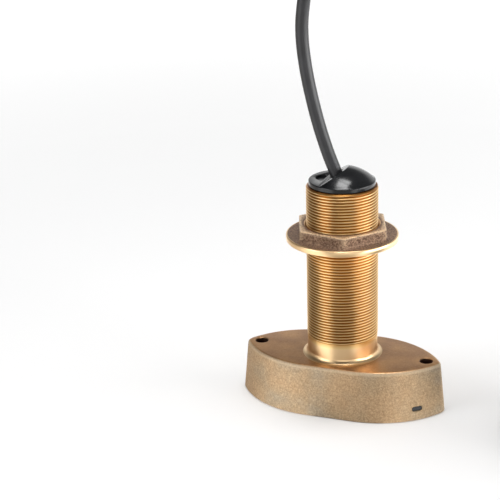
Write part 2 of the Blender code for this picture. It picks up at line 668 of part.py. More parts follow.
def make_coil():
    """The hank as one long loop with round ends, and a tie round each of its runs."""
    run = COIL_RUN / 2
    edge = CABLE_RADIUS
    levels = arc(edge, COIL_FOOT + edge, edge, 270.0, 180.0, 2) + arc(edge, COIL_TOP - edge, edge, 180.0, 90.0, 2)
    coil = loft("cable_coil", [(stadium(run, COIL_OUTER - inset), level) for inset, level in levels])
    levels[0] = (edge, COIL_FOOT - CUT)
    levels[-1] = (edge, COIL_TOP + CUT)
    cut(coil, loft("coil_hole", [(stadium(run, COIL_INNER + inset), level) for inset, level in levels]))
    coil.location = COIL_CENTRE
    link(smooth(coil), JACKET)

    low = (COIL_INNER - GAP, COIL_FOOT - GAP)
    high = (COIL_OUTER + GAP, COIL_TOP + GAP)
    for number, angle in enumerate((90.0, 270.0), 1):
        tie = strap(f"coil_tie_{number}", low, high, TIE_THICKNESS, TIE_WIDTH / 2)
        cut(tie, strap("tie_window", low, high, 0.0, TIE_WIDTH / 2 + CUT))
        tie.location = COIL_CENTRE + Vector((TIE_PLACE, 0.0, 0.0))
        tie.rotation_euler.z = math.radians(angle)
        link(smooth(tie), BLACK_NYLON)


def strap(name, low, high, wrap, half_width):
    """Bar with rounded edges that fills a coil's section, thicker by the wrap."""
    radius = CABLE_RADIUS + wrap
    near, far = low[0] - wrap + radius, high[0] + wrap - radius
    foot, top = low[1] - wrap + radius, high[1] + wrap - radius
    section = arc(far, foot, radius, -90.0, 0.0, 4) + arc(far, top, radius, 0.0, 90.0, 4)
    section += arc(near, top, radius, 90.0, 180.0, 4) + arc(near, foot, radius, 180.0, 270.0, 4)
    bar = loft(name, [(section, -half_width), (section, half_width)])
    return place(bar, Matrix.Rotation(math.radians(90.0), 4, "X"))


# Connector: boot, back nut, barrel, insert with contacts, seal and collar
def make_connector():
    """Models each piece up the Z axis, then lays them along Y on the floor."""
    axis = bpy.data.objects.new("connector_axis", None)
    axis.location = CONNECTOR_ENTRY
    axis.rotation_euler.x = math.radians(90.0)
    PART.objects.link(axis)
    barrel_radius = BARREL_DIAMETER / 2
    bore = CABLE_RADIUS + GAP

    boot_front = BOOT_FRONT_DIAMETER / 2
    lip = BOOT_LENGTH / 5
    profile = [
        (bore, BOOT_LENGTH), (boot_front, BOOT_LENGTH), (boot_front, BOOT_LENGTH - lip),
        (boot_front - BOOT_WALL, BOOT_LENGTH - lip), (bore + BOOT_WALL, 0.0), (bore, 0.0)]
    boot = turned("connector_boot", profile, SMALL_STEPS, closed=True)
    boot.parent = axis
    link(boot, RUBBER)

    back = cylinder("connector_nut", BACK_NUT_ACROSS / 2, BACK_NUT_START, BARREL_START - GAP, steps=6)
    cut(back, cylinder("nut_hole", bore, 0.0, BARREL_END))
    back.parent = axis
    link(back, BLACK_NYLON)

    flange_radius = BARREL_FLANGE_DIAMETER / 2
    recess = barrel_radius - BARREL_WALL
    insert_top = BARREL_END - INSERT_RECESS
    insert_foot = insert_top - INSERT_LENGTH
    seal_level = COLLAR_START + COLLAR_SHOULDER + BARREL_SEAL
    groove = BARREL_SEAL / 2 + GAP
    groove_floor = barrel_radius - groove
    profile = [(0.0, insert_foot - GAP), (recess, insert_foot - GAP), (recess, BARREL_END)]
    profile += [(barrel_radius, BARREL_END), (barrel_radius, seal_level + groove)]
    profile += [(groove_floor, seal_level + groove), (groove_floor, seal_level - groove)]
    profile += [(barrel_radius, seal_level - groove), (barrel_radius, BARREL_START + BARREL_FLANGE)]
    profile += [(flange_radius, BARREL_START + BARREL_FLANGE), (flange_radius, BARREL_START)]
    profile += [(0.0, BARREL_START)]
    barrel = turned("connector_body", profile, SMALL_STEPS)
    barrel.parent = axis
    link(barrel, PLATED_BRASS)

    section = arc(barrel_radius, seal_level, BARREL_SEAL / 2, 90.0, -210.0, 5)
    seal = turned("connector_seal", section, PIPE_STEPS, closed=True)
    seal.parent = axis
    link(seal, RUBBER)

    insert = cylinder("connector_insert", recess - GAP, insert_foot, insert_top)
    insert.parent = axis
    contact_radius = CONTACT_DIAMETER / 2
    contact_foot = insert_foot + INSERT_LENGTH / 3
    for index in range(CONTACT_COUNT):
        angle = math.tau * index / CONTACT_COUNT
        spot = (CONTACT_CIRCLE / 2 * math.cos(angle), CONTACT_CIRCLE / 2 * math.sin(angle))
        cut(insert, cylinder(
            "contact_hole", contact_radius + GAP, contact_foot - GAP, insert_top + CUT, spot, PIN_STEPS))
        contact = cylinder(
            f"connector_contact_{index + 1}", contact_radius, contact_foot, insert_top, spot, PIN_STEPS)
        contact.parent = axis
        link(contact, GOLD_CONTACT)
    link(insert, BLACK_NYLON)

    collar_radius = COLLAR_DIAMETER / 2
    collar_end = COLLAR_START + COLLAR_LENGTH
    running = barrel_radius + GAP
    thread = COLLAR_THREAD_DIAMETER / 2
    edge = COLLAR_FLUTE_DEPTH
    profile = [
        (thread, collar_end), (collar_radius - edge, collar_end), (collar_radius, collar_end - edge),
        (collar_radius, COLLAR_START + edge), (collar_radius - edge, COLLAR_START), (running, COLLAR_START),
        (running, COLLAR_START + COLLAR_SHOULDER), (thread, COLLAR_START + COLLAR_SHOULDER)]
    collar = turned("connector_collar", profile, MEDIUM_STEPS, closed=True)
    for index in range(COLLAR_FLUTES):
        angle = math.tau * (index + 0.5) / COLLAR_FLUTES
        reach = collar_radius + COLLAR_FLUTE_DEPTH
        spot = (reach * math.cos(angle), reach * math.sin(angle))
        cut(collar, cylinder(
            "collar_flute", 2 * COLLAR_FLUTE_DEPTH, COLLAR_START - CUT, collar_end + CUT, spot, PIN_STEPS))
    collar.parent = axis
    link(smooth(collar), PLATED_BRASS)


def make_tail():
    """The last of the cable, from the hank's foot to inside the boot."""
    route = [Vector(point) * MM for point in TAIL_ROUTE]
    before = CONNECTOR_ENTRY + Vector((0.0, CABLE_RADIUS, 0.0))
    end = CONNECTOR_ENTRY - Vector((0.0, BARREL_START - GAP, 0.0))
    route += [before, CONNECTOR_ENTRY, end]
    tube("cable_tail", smooth_curve(route, CABLE_DIAMETER), CABLE_DIAMETER, JACKET)


make_housing()
make_hull_nut()
make_stem_cap()
make_window()
make_acoustic_stack()
make_leads()
make_cable()
make_coil()
make_connector()
make_tail()
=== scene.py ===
"""Through-hull sonar transducer: bronze casting, hull nut, cap, cable and connector."""
import math

import bpy
from mathutils import Matrix, Vector


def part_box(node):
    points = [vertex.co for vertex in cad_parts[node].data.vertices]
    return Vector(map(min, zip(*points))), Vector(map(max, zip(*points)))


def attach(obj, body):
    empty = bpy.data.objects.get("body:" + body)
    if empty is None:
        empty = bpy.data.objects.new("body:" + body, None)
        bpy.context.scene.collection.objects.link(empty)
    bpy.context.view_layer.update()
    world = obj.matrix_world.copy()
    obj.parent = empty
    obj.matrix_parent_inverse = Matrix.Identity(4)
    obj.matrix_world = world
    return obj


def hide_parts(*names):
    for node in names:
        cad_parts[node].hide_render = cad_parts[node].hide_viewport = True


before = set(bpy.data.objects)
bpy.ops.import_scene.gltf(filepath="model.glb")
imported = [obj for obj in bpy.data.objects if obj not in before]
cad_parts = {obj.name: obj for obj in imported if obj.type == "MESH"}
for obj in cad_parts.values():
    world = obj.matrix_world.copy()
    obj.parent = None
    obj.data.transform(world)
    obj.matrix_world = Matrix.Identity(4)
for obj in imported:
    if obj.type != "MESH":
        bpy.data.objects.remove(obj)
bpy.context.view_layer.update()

mm = 0.001

# Bronze casting. One sand casting of the oval base, an open cup below, and the hollow stem.
# The base is left as it came from the blasting cabinet, with a smoother top; the stem is
# turned in a lathe, threaded down to a plain band and faired into the base with a fillet.
base_length, base_width, base_height = 114.0 * mm, 55.6 * mm, 28.0 * mm
nose_radius, side_length, draft = 7.4 * mm, 26.0 * mm, 2.6 * mm
base_wall, top_edge, foot_edge = 4.5 * mm, 2.0 * mm, 0.5 * mm
stem_radius, stem_top, bore_radius = 19.05 * mm, 123.0 * mm, 13.55 * mm
thread_foot, thread_pitch, thread_depth = 38.4 * mm, 1.5875 * mm, 0.82 * mm
cup_top, bore_foot = 22.0 * mm, 21.0 * mm
cut_low, cut_high = -1.0 * mm, base_height + 1.0 * mm


def rest_selection():
    """Leaves edit mode and deselects everything, so the next operator acts on its own piece."""
    if bpy.context.object and bpy.context.object.mode != "OBJECT":
        bpy.ops.object.mode_set(mode="OBJECT")
    bpy.ops.object.select_all(action="DESELECT")


def work_on(piece):
    rest_selection()
    piece.select_set(True)
    bpy.context.view_layer.objects.active = piece


def arc(centre_x, centre_y, radius, start, end, count):
    """Points along a circle's arc, from and to a bearing in degrees."""
    steps = [math.radians(start + (end - start) * index / count) for index in range(count + 1)]
    return [(centre_x + radius * math.cos(turn), centre_y + radius * math.sin(turn)) for turn in steps]


def draw_up(name, rings, hollow=False):
    """Extrudes a circle through (outline, height) rings, then fills or, if hollow, bridges its ends."""
    rest_selection()
    bpy.ops.mesh.primitive_circle_add(vertices=len(rings[0][0]), radius=1.0)
    piece = bpy.context.object
    piece.name = name
    for spot, (x, y) in zip(piece.data.vertices, rings[0][0]):
        spot.co = (x, y, rings[0][1])
    bpy.ops.object.mode_set(mode="EDIT")
    bpy.ops.mesh.select_all(action="SELECT")
    if not hollow:
        bpy.ops.mesh.edge_face_add()
    for outline, height in rings[1:]:
        bpy.ops.mesh.extrude_region_move()
        bpy.ops.object.mode_set(mode="OBJECT")
        newest = [spot for spot in piece.data.vertices if spot.select]
        for spot, (x, y) in zip(newest, outline):
            spot.co = (x, y, height)
        bpy.ops.object.mode_set(mode="EDIT")
    if hollow:
        bpy.ops.mesh.select_mode(type="EDGE")
        bpy.ops.mesh.select_all(action="DESELECT")
        bpy.ops.mesh.select_non_manifold()
        bpy.ops.mesh.bridge_edge_loops()
        bpy.ops.mesh.select_mode(type="VERT")
    bpy.ops.mesh.select_all(action="SELECT")
    bpy.ops.mesh.normals_make_consistent(inside=False)
    bpy.ops.object.mode_set(mode="OBJECT")
    return piece


def turn_up(name, profile, steps=128, hollow=False):
    """A round piece from a profile of (radius, height) points."""
    turns = [math.tau * index / steps for index in range(steps)]
    rings = [([(radius * math.cos(turn), radius * math.sin(turn)) for turn in turns], height)
             for radius, height in profile]
    return draw_up(name, rings, hollow)


def cut_with(piece, cutter):
    work_on(piece)
    change = piece.modifiers.new("cut", "BOOLEAN")
    change.operation = "DIFFERENCE"
    change.solver = "EXACT"
    change.object = cutter
    bpy.ops.object.modifier_apply(modifier=change.name)
    bpy.data.objects.remove(cutter, do_unlink=True)


def post(name, radius, low, high, x=0.0, y=0.0, steps=48):
    """Upright round cutter between two levels."""
    rest_selection()
    bpy.ops.mesh.primitive_cylinder_add(
        vertices=steps, radius=radius, depth=high - low, location=(x, y, (low + high) / 2))
    bpy.context.object.name = name
    return bpy.context.object


def settle(piece, angle=35.0):
    """Applies the piece's place, merges doubles and smooths its round faces."""
    work_on(piece)
    bpy.ops.object.transform_apply(location=True, rotation=True, scale=True)
    bpy.ops.object.mode_set(mode="EDIT")
    bpy.ops.mesh.select_all(action="SELECT")
    bpy.ops.mesh.remove_doubles(threshold=0.002 * mm)
    bpy.ops.object.mode_set(mode="OBJECT")
    bpy.ops.object.shade_smooth_by_angle(angle=math.radians(angle))


def flank():
    """Centre, radius and first bearing of the long arc of the base's side."""
    along = base_length / 2 - nose_radius - side_length / 2
    across = base_width / 2 - nose_radius
    bearing = math.pi / 2 - 2 * math.atan(across / along)
    offset = along / math.cos(bearing)
    return side_length / 2, -offset * math.sin(bearing), nose_radius + offset, math.degrees(bearing)


def base_outline(inset):
    centre_x, centre_y, radius, bearing = flank()
    quarter = arc(base_length / 2 - nose_radius, 0.0, nose_radius - inset, 0.0, bearing, 12)[:-1]
    quarter += arc(centre_x, centre_y, radius - inset, bearing, 90.0, 30)
    half = quarter + [(-x, y) for x, y in reversed(quarter)]
    return half + [(-x, -y) for x, y in half[1:-1]]


wall_top = base_height - top_edge
rings = [(base_outline(foot_edge), 0.0), (base_outline(0.04 * mm), foot_edge)]
rings += [(base_outline(draft * level / 6), base_height * level / 6) for level in range(1, 6)]
rings += [
    (base_outline(inset), height) for inset, height in
    arc(draft * wall_top / base_height + top_edge, wall_top, top_edge, 180.0, 90.0, 8)]
casting = draw_up("bronze_casting", rings)

cup_radius, hole_place, hole_radius = base_width / 2 - base_wall, 46.7 * mm, 3.4 * mm
cup_end = hole_place - hole_radius - 3.0 * mm
right_end = arc(cup_end - cup_radius, 0.0, cup_radius, -90.0, 90.0, 40)
cup_outline = right_end + [(-x, -y) for x, y in right_end]
cut_with(casting, draw_up("cup", [(cup_outline, cut_low), (cup_outline, cup_top)]))
cut_with(casting, post("bore", bore_radius, bore_foot, cut_high, steps=128))
for side in (1, -1):
    cut_with(casting, post("hole", hole_radius, cut_low, cut_high, side * hole_place))
    rim = turn_up("rim", [
        (0.5 * hole_radius, base_height - 2.0 * mm), (hole_radius + 0.5 * mm, base_height),
        (hole_radius + 1.5 * mm, cut_high)], 48)
    rim.location.x = side * hole_place
    cut_with(casting, rim)

# Potting slots: one in each long side, square to the wall, at opposite corners.
slot_length, slot_height, slot_level, slot_cut = 6.2 * mm, 2.8 * mm, 6.4 * mm, 32.0 * mm
slot_place = hole_place - 0.4 * mm
centre_x, centre_y, flank_radius, _ = flank()
slot_turn = math.acos((slot_place - centre_x) / flank_radius)
slot_face = Vector((slot_place, centre_y + flank_radius * math.sin(slot_turn), 0))
for side in (1, -1):
    rest_selection()
    bpy.ops.mesh.primitive_cylinder_add(vertices=32, radius=slot_height / 2, depth=slot_cut)
    slot = bpy.context.object
    for spot in slot.data.vertices:
        spot.co.x += math.copysign((slot_length - slot_height) / 2, spot.co.x)
    facing = Vector((math.cos(slot_turn) * side, -math.sin(slot_turn) * side, 0))
    along = Vector((0, 0, 1)).cross(facing)
    place = Matrix((along, Vector((0, 0, 1)), -facing)).transposed().to_4x4()
    place.translation = Vector((slot_face.x * side, -slot_face.y * side, slot_level))
    slot.matrix_world = place
    cut_with(casting, slot)
settle(casting)

band_radius, fillet, band_top = stem_radius - 0.2 * mm, 3.0 * mm, thread_foot + 0.6 * mm
band_foot = base_height - 0.02 * mm
profile = arc(band_radius + fillet, band_foot + fillet, fillet, 270.0, 180.0, 14)
profile += [(band_radius, thread_foot - 2.0 * mm), (band_radius, band_top)]
profile += [(bore_radius, band_top), (bore_radius, band_foot)]
band = turn_up("stem_band", profile, 160, hollow=True)
settle(band)

# One thread section, as shares of the pitch and the depth, screwed up the stem. Its foot
# fades out into the band and its top follows the chamfer.
section = [(0.0, 0.0), (0.11, 0.0), (0.2, 0.14), (0.46, 0.94),
           (0.54, 1.0), (0.62, 0.94), (0.9, 0.12), (1.0, 0.0)]
thread_turns, steps_a_turn, thread_fade = 54, 96, 1.3 * thread_pitch
chamfer, end_foot, mouth = 0.9 * mm, stem_top - 14 * mm, 0.6 * mm
rest_selection()
bpy.ops.mesh.primitive_circle_add(vertices=len(section), radius=1.0)
thread = bpy.context.object
for spot, (share, depth) in zip(thread.data.vertices, section):
    spot.co = (stem_radius - thread_depth * depth, 0, thread_foot - thread_pitch + thread_pitch * share)
bpy.ops.object.mode_set(mode="EDIT")
bpy.ops.mesh.select_all(action="DESELECT")
bpy.ops.mesh.select_mode(type="EDGE")
bpy.ops.object.mode_set(mode="OBJECT")
for edge in thread.data.edges:
    edge.select = set(edge.vertices) == {0, len(section) - 1}
bpy.ops.object.mode_set(mode="EDIT")
bpy.ops.mesh.delete(type="EDGE")
bpy.ops.mesh.select_mode(type="VERT")
bpy.ops.object.mode_set(mode="OBJECT")
turns = thread.modifiers.new("turns", "SCREW")
turns.axis = "Z"
turns.screw_offset = thread_pitch
turns.iterations = thread_turns
turns.steps = turns.render_steps = steps_a_turn
turns.use_merge_vertices = True
turns.merge_threshold = 0.01 * mm
bpy.ops.object.modifier_apply(modifier="turns")
for spot in thread.data.vertices:
    level = min(max(spot.co.z, thread_foot), stem_top)
    around = math.hypot(spot.co.x, spot.co.y)
    fade = min(1.0, max(0.0, (level - thread_foot) / thread_fade))
    radius = band_radius + (around - band_radius) * fade
    radius = min(radius, stem_radius - chamfer + (stem_top - level))
    spot.co = (spot.co.x * radius / around, spot.co.y * radius / around, level)
lip = stem_radius - chamfer
end = turn_up("stem_end", [
    (lip, stem_top), (bore_radius + mouth, stem_top), (bore_radius, stem_top - mouth),
    (bore_radius, end_foot), (lip - 1.5 * mm, end_foot)], 96, hollow=True)
settle(end)
settle(thread, 60.0)


def colour(hexadecimal):
    """Linear colour from an sRGB hex value."""
    channels = [int(hexadecimal[place:place + 2], 16) / 255 for place in (1, 3, 5)]
    return (*[c / 12.92 if c <= 0.04045 else ((c + 0.055) / 1.055) ** 2.4 for c in channels], 1.0)


def add(tree, kind, inputs=(), stops=(), to=None, **settings):
    """Adds a shader node, with a Mix as a colour one. Inputs are linked or set, stops are a
    ramp's, settings its properties, and to is the socket of the shader that it feeds."""
    node = tree.nodes.new("ShaderNode" + kind)
    if kind == "Mix":
        node.data_type = "RGBA"
    for name, value in settings.items():
        setattr(node, name, value)
    for key, value in dict(inputs).items():
        if isinstance(value, bpy.types.NodeSocket):
            tree.links.new(value, node.inputs[key])
        else:
            node.inputs[key].default_value = value
    for index, (position, tint) in enumerate(stops):
        if index < 2:
            node.color_ramp.elements[index].position = position
        stop = node.color_ramp.elements[index] if index < 2 else node.color_ramp.elements.new(position)
        stop.color = colour(tint)
    if to:
        tree.links.new(node.outputs[2 if kind == "Mix" else 0], tree.nodes["Principled BSDF"].inputs[to])
    return node


def new_finish(name, base, roughness, metallic=0.0):
    """A material with its tree and the object's own coordinates."""
    material = bpy.data.materials.new(name)
    material.use_nodes = True
    tree = material.node_tree
    shader = tree.nodes["Principled BSDF"]
    shader.inputs["Base Color"].default_value = colour(base)
    shader.inputs["Roughness"].default_value = roughness
    shader.inputs["Metallic"].default_value = metallic
    return material, tree, add(tree, "TexCoord").outputs["Object"]


# Noise at scale 1 has clumps of 0.6 m, so clump / size gives clumps of that size.
clump = 0.6
# Levels between which the base's upper edge gets a painted highlight and its top face begins.
highlight_low, highlight_high, top_low, top_high = 25.6 * mm, 26.8 * mm, 27.4 * mm, 27.95 * mm

# Sand-cast bronze, blasted: sandy grain of half a millimetre, grey and tan cloud over 10 to 20 mm,
# a painted highlight on the upper edge, a smoother, browner top face and painted shade in the drilled
# holes.
blasted_bronze, tree, place = new_finish("blasted_cast_bronze", "#B89A70", 0.5, 0.85)
level = add(tree, "SeparateXYZ", {"Vector": place}).outputs["Z"]
cloud = add(tree, "TexNoise", {"Vector": place, "Scale": clump / (13 * mm), "Detail": 3.0})
speck = add(tree, "TexNoise", {
    "Vector": place, "Scale": clump / (0.55 * mm), "Detail": 3.0, "Roughness": 0.7})
wall = add(tree, "ValToRGB", {"Fac": cloud.outputs["Fac"]}, (
    (0.36, "#A2937E"), (0.64, "#C09C73"), (0.5, "#B39774")))
sandy = add(tree, "ValToRGB", {"Fac": speck.outputs["Fac"]}, ((0.28, "#64533D"), (0.72, "#EDD6B4")))
wall = add(tree, "Mix", {0: 0.42, 6: wall.outputs[0], 7: sandy.outputs[0]})
smooth_skin = add(tree, "TexNoise", {"Vector": place, "Scale": clump / (9 * mm), "Detail": 3.0})
top = add(tree, "ValToRGB", {"Fac": smooth_skin.outputs["Fac"]}, ((0.35, "#B08055"), (0.68, "#CC9962")))
top = add(tree, "Mix", {0: 0.15, 6: top.outputs[0], 7: sandy.outputs[0]})
# Painted highlight: the rounded upper edge of the base is mixed to a paler colour.
edge_highlight = add(tree, "MapRange", {
    0: level, 1: highlight_low, 2: highlight_high, 3: 0.0, 4: 0.45}, interpolation_type="SMOOTHSTEP")
on_top = add(tree, "MapRange", {0: level, 1: top_low, 2: top_high}, interpolation_type="SMOOTHSTEP")
skin = add(tree, "Mix", {0: edge_highlight.outputs[0], 6: wall.outputs[2], 7: colour("#DDC8AA")})
skin = add(tree, "Mix", {0: on_top.outputs[0], 6: skin.outputs[2], 7: top.outputs[2]})
# Painted shade: the walls of the screw holes are mixed to dark brown.
hole_shade = add(tree, "Attribute", attribute_name="hole_shade").outputs["Fac"]
add(tree, "Mix", {0: hole_shade, 6: skin.outputs[2], 7: colour("#4A3226")}, to="Base Color")
add(tree, "MapRange", {0: on_top.outputs[0], 3: 0.56, 4: 0.34}, to="Roughness")
pits = add(tree, "TexNoise", {"Vector": place, "Scale": clump / (1.6 * mm), "Detail": 1.0})
pits = add(tree, "MapRange", {0: pits.outputs["Fac"], 1: 0.70, 2: 0.76, 3: 1.0, 4: 0.0})
pitted = add(tree, "Bump", {"Height": pits.outputs[0], "Distance": 0.25 * mm, "Strength": 0.4})
depth_of_sand = add(tree, "MapRange", {0: on_top.outputs[0], 3: 0.5 * mm, 4: 0.08 * mm})
add(tree, "Bump", {
    "Height": speck.outputs["Fac"], "Distance": depth_of_sand.outputs[0], "Strength": 0.5,
    "Normal": pitted.outputs[0]}, to="Normal")

# Turned bronze: a pale gold band, a painted highlight on the crests and painted shade that goes brown
# down in the grooves, faint tool lines round the stem, and a few black pores that the cut opened.
turned_bronze, tree, place = new_finish("turned_bronze", "#E3B66E", 0.27, 1.0)
groove_shade_share = add(tree, "Attribute", attribute_name="groove_shade").outputs["Fac"]
# Painted highlight and shade: crests are pale gold, and the colour goes brown with depth down the
# grooves.
metal_with_painted_light = add(tree, "ValToRGB", {"Fac": groove_shade_share}, (
    (0.0, "#F8DCB4"), (0.95, "#966230"), (0.05, "#F6DCAA"), (0.3, "#DAAA66")))
warmth = add(tree, "TexNoise", {"Vector": place, "Scale": clump / (22 * mm)})
warmth = add(tree, "ValToRGB", {"Fac": warmth.outputs["Fac"]}, ((0.35, "#F3EBDD"), (0.65, "#FFF9EC")))
metal_with_painted_light = add(tree, "Mix", {0: 1.0, 6: metal_with_painted_light.outputs[0], 7: warmth.outputs[0]}, blend_type="MULTIPLY")
pores = add(tree, "TexVoronoi", {"Vector": place, "Scale": 1 / (9 * mm)})
pores = add(tree, "MapRange", {0: pores.outputs["Distance"], 1: 0.035, 2: 0.07, 3: 1.0, 4: 0.0})
add(tree, "Mix", {0: pores.outputs[0], 6: metal_with_painted_light.outputs[2], 7: colour("#3A2412")}, to="Base Color")
smear = add(tree, "TexNoise", {"Vector": place, "Scale": clump / (3 * mm), "Detail": 3.0})
add(tree, "MapRange", {0: smear.outputs["Fac"], 1: 0.3, 2: 0.7, 3: 0.28, 4: 0.38}, to="Roughness")
around = add(tree, "Mapping", {"Vector": place, "Scale": (0.02, 0.02, 1.0)})
lines = add(tree, "TexNoise", {
    "Vector": around.outputs[0], "Scale": clump / (0.35 * mm), "Roughness": 0.6})
tooled = add(tree, "Bump", {"Height": lines.outputs["Fac"], "Distance": 0.03 * mm, "Strength": 0.08})
add(tree, "Bump", {
    "Height": smear.outputs["Fac"], "Distance": 0.1 * mm, "Strength": 0.05,
    "Normal": tooled.outputs[0]}, to="Normal")

casting.data.materials.clear()
casting.data.materials.append(blasted_bronze)
for part in (band, thread, end):
    part.data.materials.append(turned_bronze)
work_on(casting)
for part in (band, thread, end):
    part.select_set(True)
bpy.ops.object.join()
# The first attribute is the share of the thread's depth, with 0 kept for the plain band, and
# paints shade down the grooves; the second is 1 in the screw holes and paints shade in them.
# Depth into the thread, which paints shade down the grooves.
groove_shade = casting.data.attributes.new("groove_shade", "FLOAT", "POINT")
hole_shade = casting.data.attributes.new("hole_shade", "FLOAT", "POINT")
depths, in_holes = [], []
for spot in casting.data.vertices:
    around = math.hypot(spot.co.x, spot.co.y)
    threaded = spot.co.z > thread_foot and around > stem_radius - 1.2 * thread_depth
    depths.append(min(1.0, max(0.05, (stem_radius - around) / thread_depth)) if threaded else 0.0)
    from_hole = math.hypot(abs(spot.co.x) - hole_place, spot.co.y)
    # Marks the screw holes' walls for painted shade.
    in_holes.append(float(from_hole < hole_radius + 0.1 * mm and spot.co.z < base_height - 0.1 * mm))
groove_shade.data.foreach_set("value", depths)
hole_shade.data.foreach_set("value", in_holes)

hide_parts("housing")
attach(casting, "transducer")

# Hull nut. A cast hexagon on a round flange, one casting: the hexagon is left as cast, with
# its corners and upper edges rubbed bright, and the flange's rim is turned.
flange_radius, flange_height, across_flats, hex_height = 29.8 * mm, 3.1 * mm, 45.3 * mm, 5.7 * mm
nut_seat, nut_turn, corner, nut_foot, hex_edge = 92.9 * mm, -70.5, 0.9 * mm, 1.6 * mm, 0.55 * mm
nut_bore, rim_edge = stem_radius + 0.3 * mm, 0.3 * mm


def hexagon(outset):
    """Hexagon with round corners; each side has points enough for its fillet and its grain."""
    reach = (across_flats / 2 - corner) / math.cos(math.radians(30.0))
    outline = []
    for index in range(6):
        turn = nut_turn + 60.0 * index
        middle = (reach * math.cos(math.radians(turn)), reach * math.sin(math.radians(turn)))
        outline += arc(*middle, corner + outset, turn - 30.0, turn + 30.0, 6)
        onward = math.radians(turn + 60.0)
        following = (reach * math.cos(onward), reach * math.sin(onward))
        start = outline[-1]
        side = Vector((following[0] - middle[0], following[1] - middle[1]))
        outline += [(start[0] + side.x * tenth / 10, start[1] + side.y * tenth / 10)
                    for tenth in range(1, 10)]
    return outline


bearings = [math.atan2(y, x) for x, y in hexagon(0.0)]
hex_foot, hex_top = nut_seat + flange_height, nut_seat + flange_height + hex_height
flange = [(nut_bore + 0.8 * mm, nut_seat), (flange_radius - rim_edge, nut_seat)]
flange += [(flange_radius, nut_seat + rim_edge), (flange_radius, hex_foot - rim_edge)]
flange += [(flange_radius - rim_edge, hex_foot)]
flange += [(flange_radius - 0.8 * mm, hex_foot + 0.02 * mm)]
rings = [([(radius * math.cos(turn), radius * math.sin(turn)) for turn in bearings], height)
         for radius, height in flange]
rings += [(hexagon(outset), hex_foot + height) for outset, height in
          arc(nut_foot, nut_foot, nut_foot, 270.0, 180.0, 6)]
flats = hex_height - nut_foot - hex_edge
rings += [(hexagon(0.0), hex_foot + nut_foot + flats * third / 3) for third in (1, 2, 3)]
rings += [(hexagon(inset), height) for inset, height in
          arc(-hex_edge, hex_top - hex_edge, hex_edge, 20.0, 90.0, 4)]
inside = [(nut_bore + 1.6 * mm, hex_top), (nut_bore + 0.9 * mm, hex_top), (nut_bore, hex_top - 1.0 * mm)]
inside += [(nut_bore, nut_seat + 0.8 * mm)]
rings += [([(radius * math.cos(turn), radius * math.sin(turn)) for turn in bearings], height)
          for radius, height in inside]
nut = draw_up("flanged_hull_nut", rings, hollow=True)
settle(nut, 50.0)

# rub is how much bare metal shows: most at the hexagon's upper edge, a little at its corners.
rub = nut.data.attributes.new("rub", "FLOAT", "POINT")
marks = []
for spot in nut.data.vertices:
    away = math.hypot(spot.co.x, spot.co.y)
    off_top = abs(spot.co.z - hex_top) + max(0.0, across_flats / 2 - 0.7 * mm - away)
    off_corner = max(0.0, across_flats / 2 / math.cos(math.radians(30.0)) - 1.1 * mm - away)
    on_hex = spot.co.z > hex_foot + 0.5 * nut_foot
    upper = 1.3 - off_top / (0.5 * mm)
    bend = 0.3 - off_corner / (0.9 * mm)
    marks.append(min(1.0, max(0.0, upper, bend)) if on_hex and away > nut_bore + 1.2 * mm else 0.0)
rub.data.foreach_set("value", marks)

# As-cast bronze: purple-brown oxide skin, coarse grain of 0.6 mm, metal showing on rubbed edges.
cast_skin, tree, place = new_finish("as_cast_bronze_skin", "#8C6E5E", 0.48, 0.75)
stain = add(tree, "TexNoise", {
    "Vector": place, "Scale": clump / (5 * mm), "Detail": 4.0, "Roughness": 0.6})
skin = add(tree, "ValToRGB", {"Fac": stain.outputs["Fac"]}, (
    (0.33, "#6A5043"), (0.67, "#90715D"), (0.5, "#7B5E4D")))
coarse = add(tree, "TexNoise", {
    "Vector": place, "Scale": clump / (0.6 * mm), "Detail": 3.0, "Roughness": 0.65})
grit = add(tree, "ValToRGB", {"Fac": coarse.outputs["Fac"]}, ((0.38, "#38271F"), (0.66, "#D2B090")))
skin = add(tree, "Mix", {0: 0.5, 6: skin.outputs[0], 7: grit.outputs[0]})
worn = add(tree, "Attribute", attribute_name="rub").outputs["Fac"]
patchy = add(tree, "MapRange", {0: coarse.outputs["Fac"], 1: 0.25, 2: 0.5})
worn = add(tree, "Math", {0: worn, 1: patchy.outputs[0]}, operation="MULTIPLY")
add(tree, "Mix", {0: worn.outputs[0], 6: skin.outputs[2], 7: colour("#F0D2AC")}, to="Base Color")
add(tree, "MapRange", {0: worn.outputs[0], 3: 0.5, 4: 0.32}, to="Roughness")
lumpy = add(tree, "Bump", {"Height": coarse.outputs["Fac"], "Distance": 0.9 * mm, "Strength": 0.9})
add(tree, "Bump", {
    "Height": stain.outputs["Fac"], "Distance": 1.2 * mm, "Strength": 0.25,
    "Normal": lumpy.outputs[0]}, to="Normal")
nut.data.materials.append(cast_skin)
nut.data.materials.append(turned_bronze)
# The lathe reaches the flange's rim, its seat and the bore; the rest keeps its cast skin.
for face in nut.data.polygons:
    away = math.hypot(face.center.x, face.center.y)
    turned_rim = away > flange_radius - 0.9 * mm and face.center.z < hex_foot + 0.1 * mm
    turned_bore = away < nut_bore + 0.9 * mm
    face.material_index = 1 if turned_rim or turned_bore or face.center.z < nut_seat + 0.1 * mm else 0

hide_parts("hull_nut")
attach(nut, "nut")

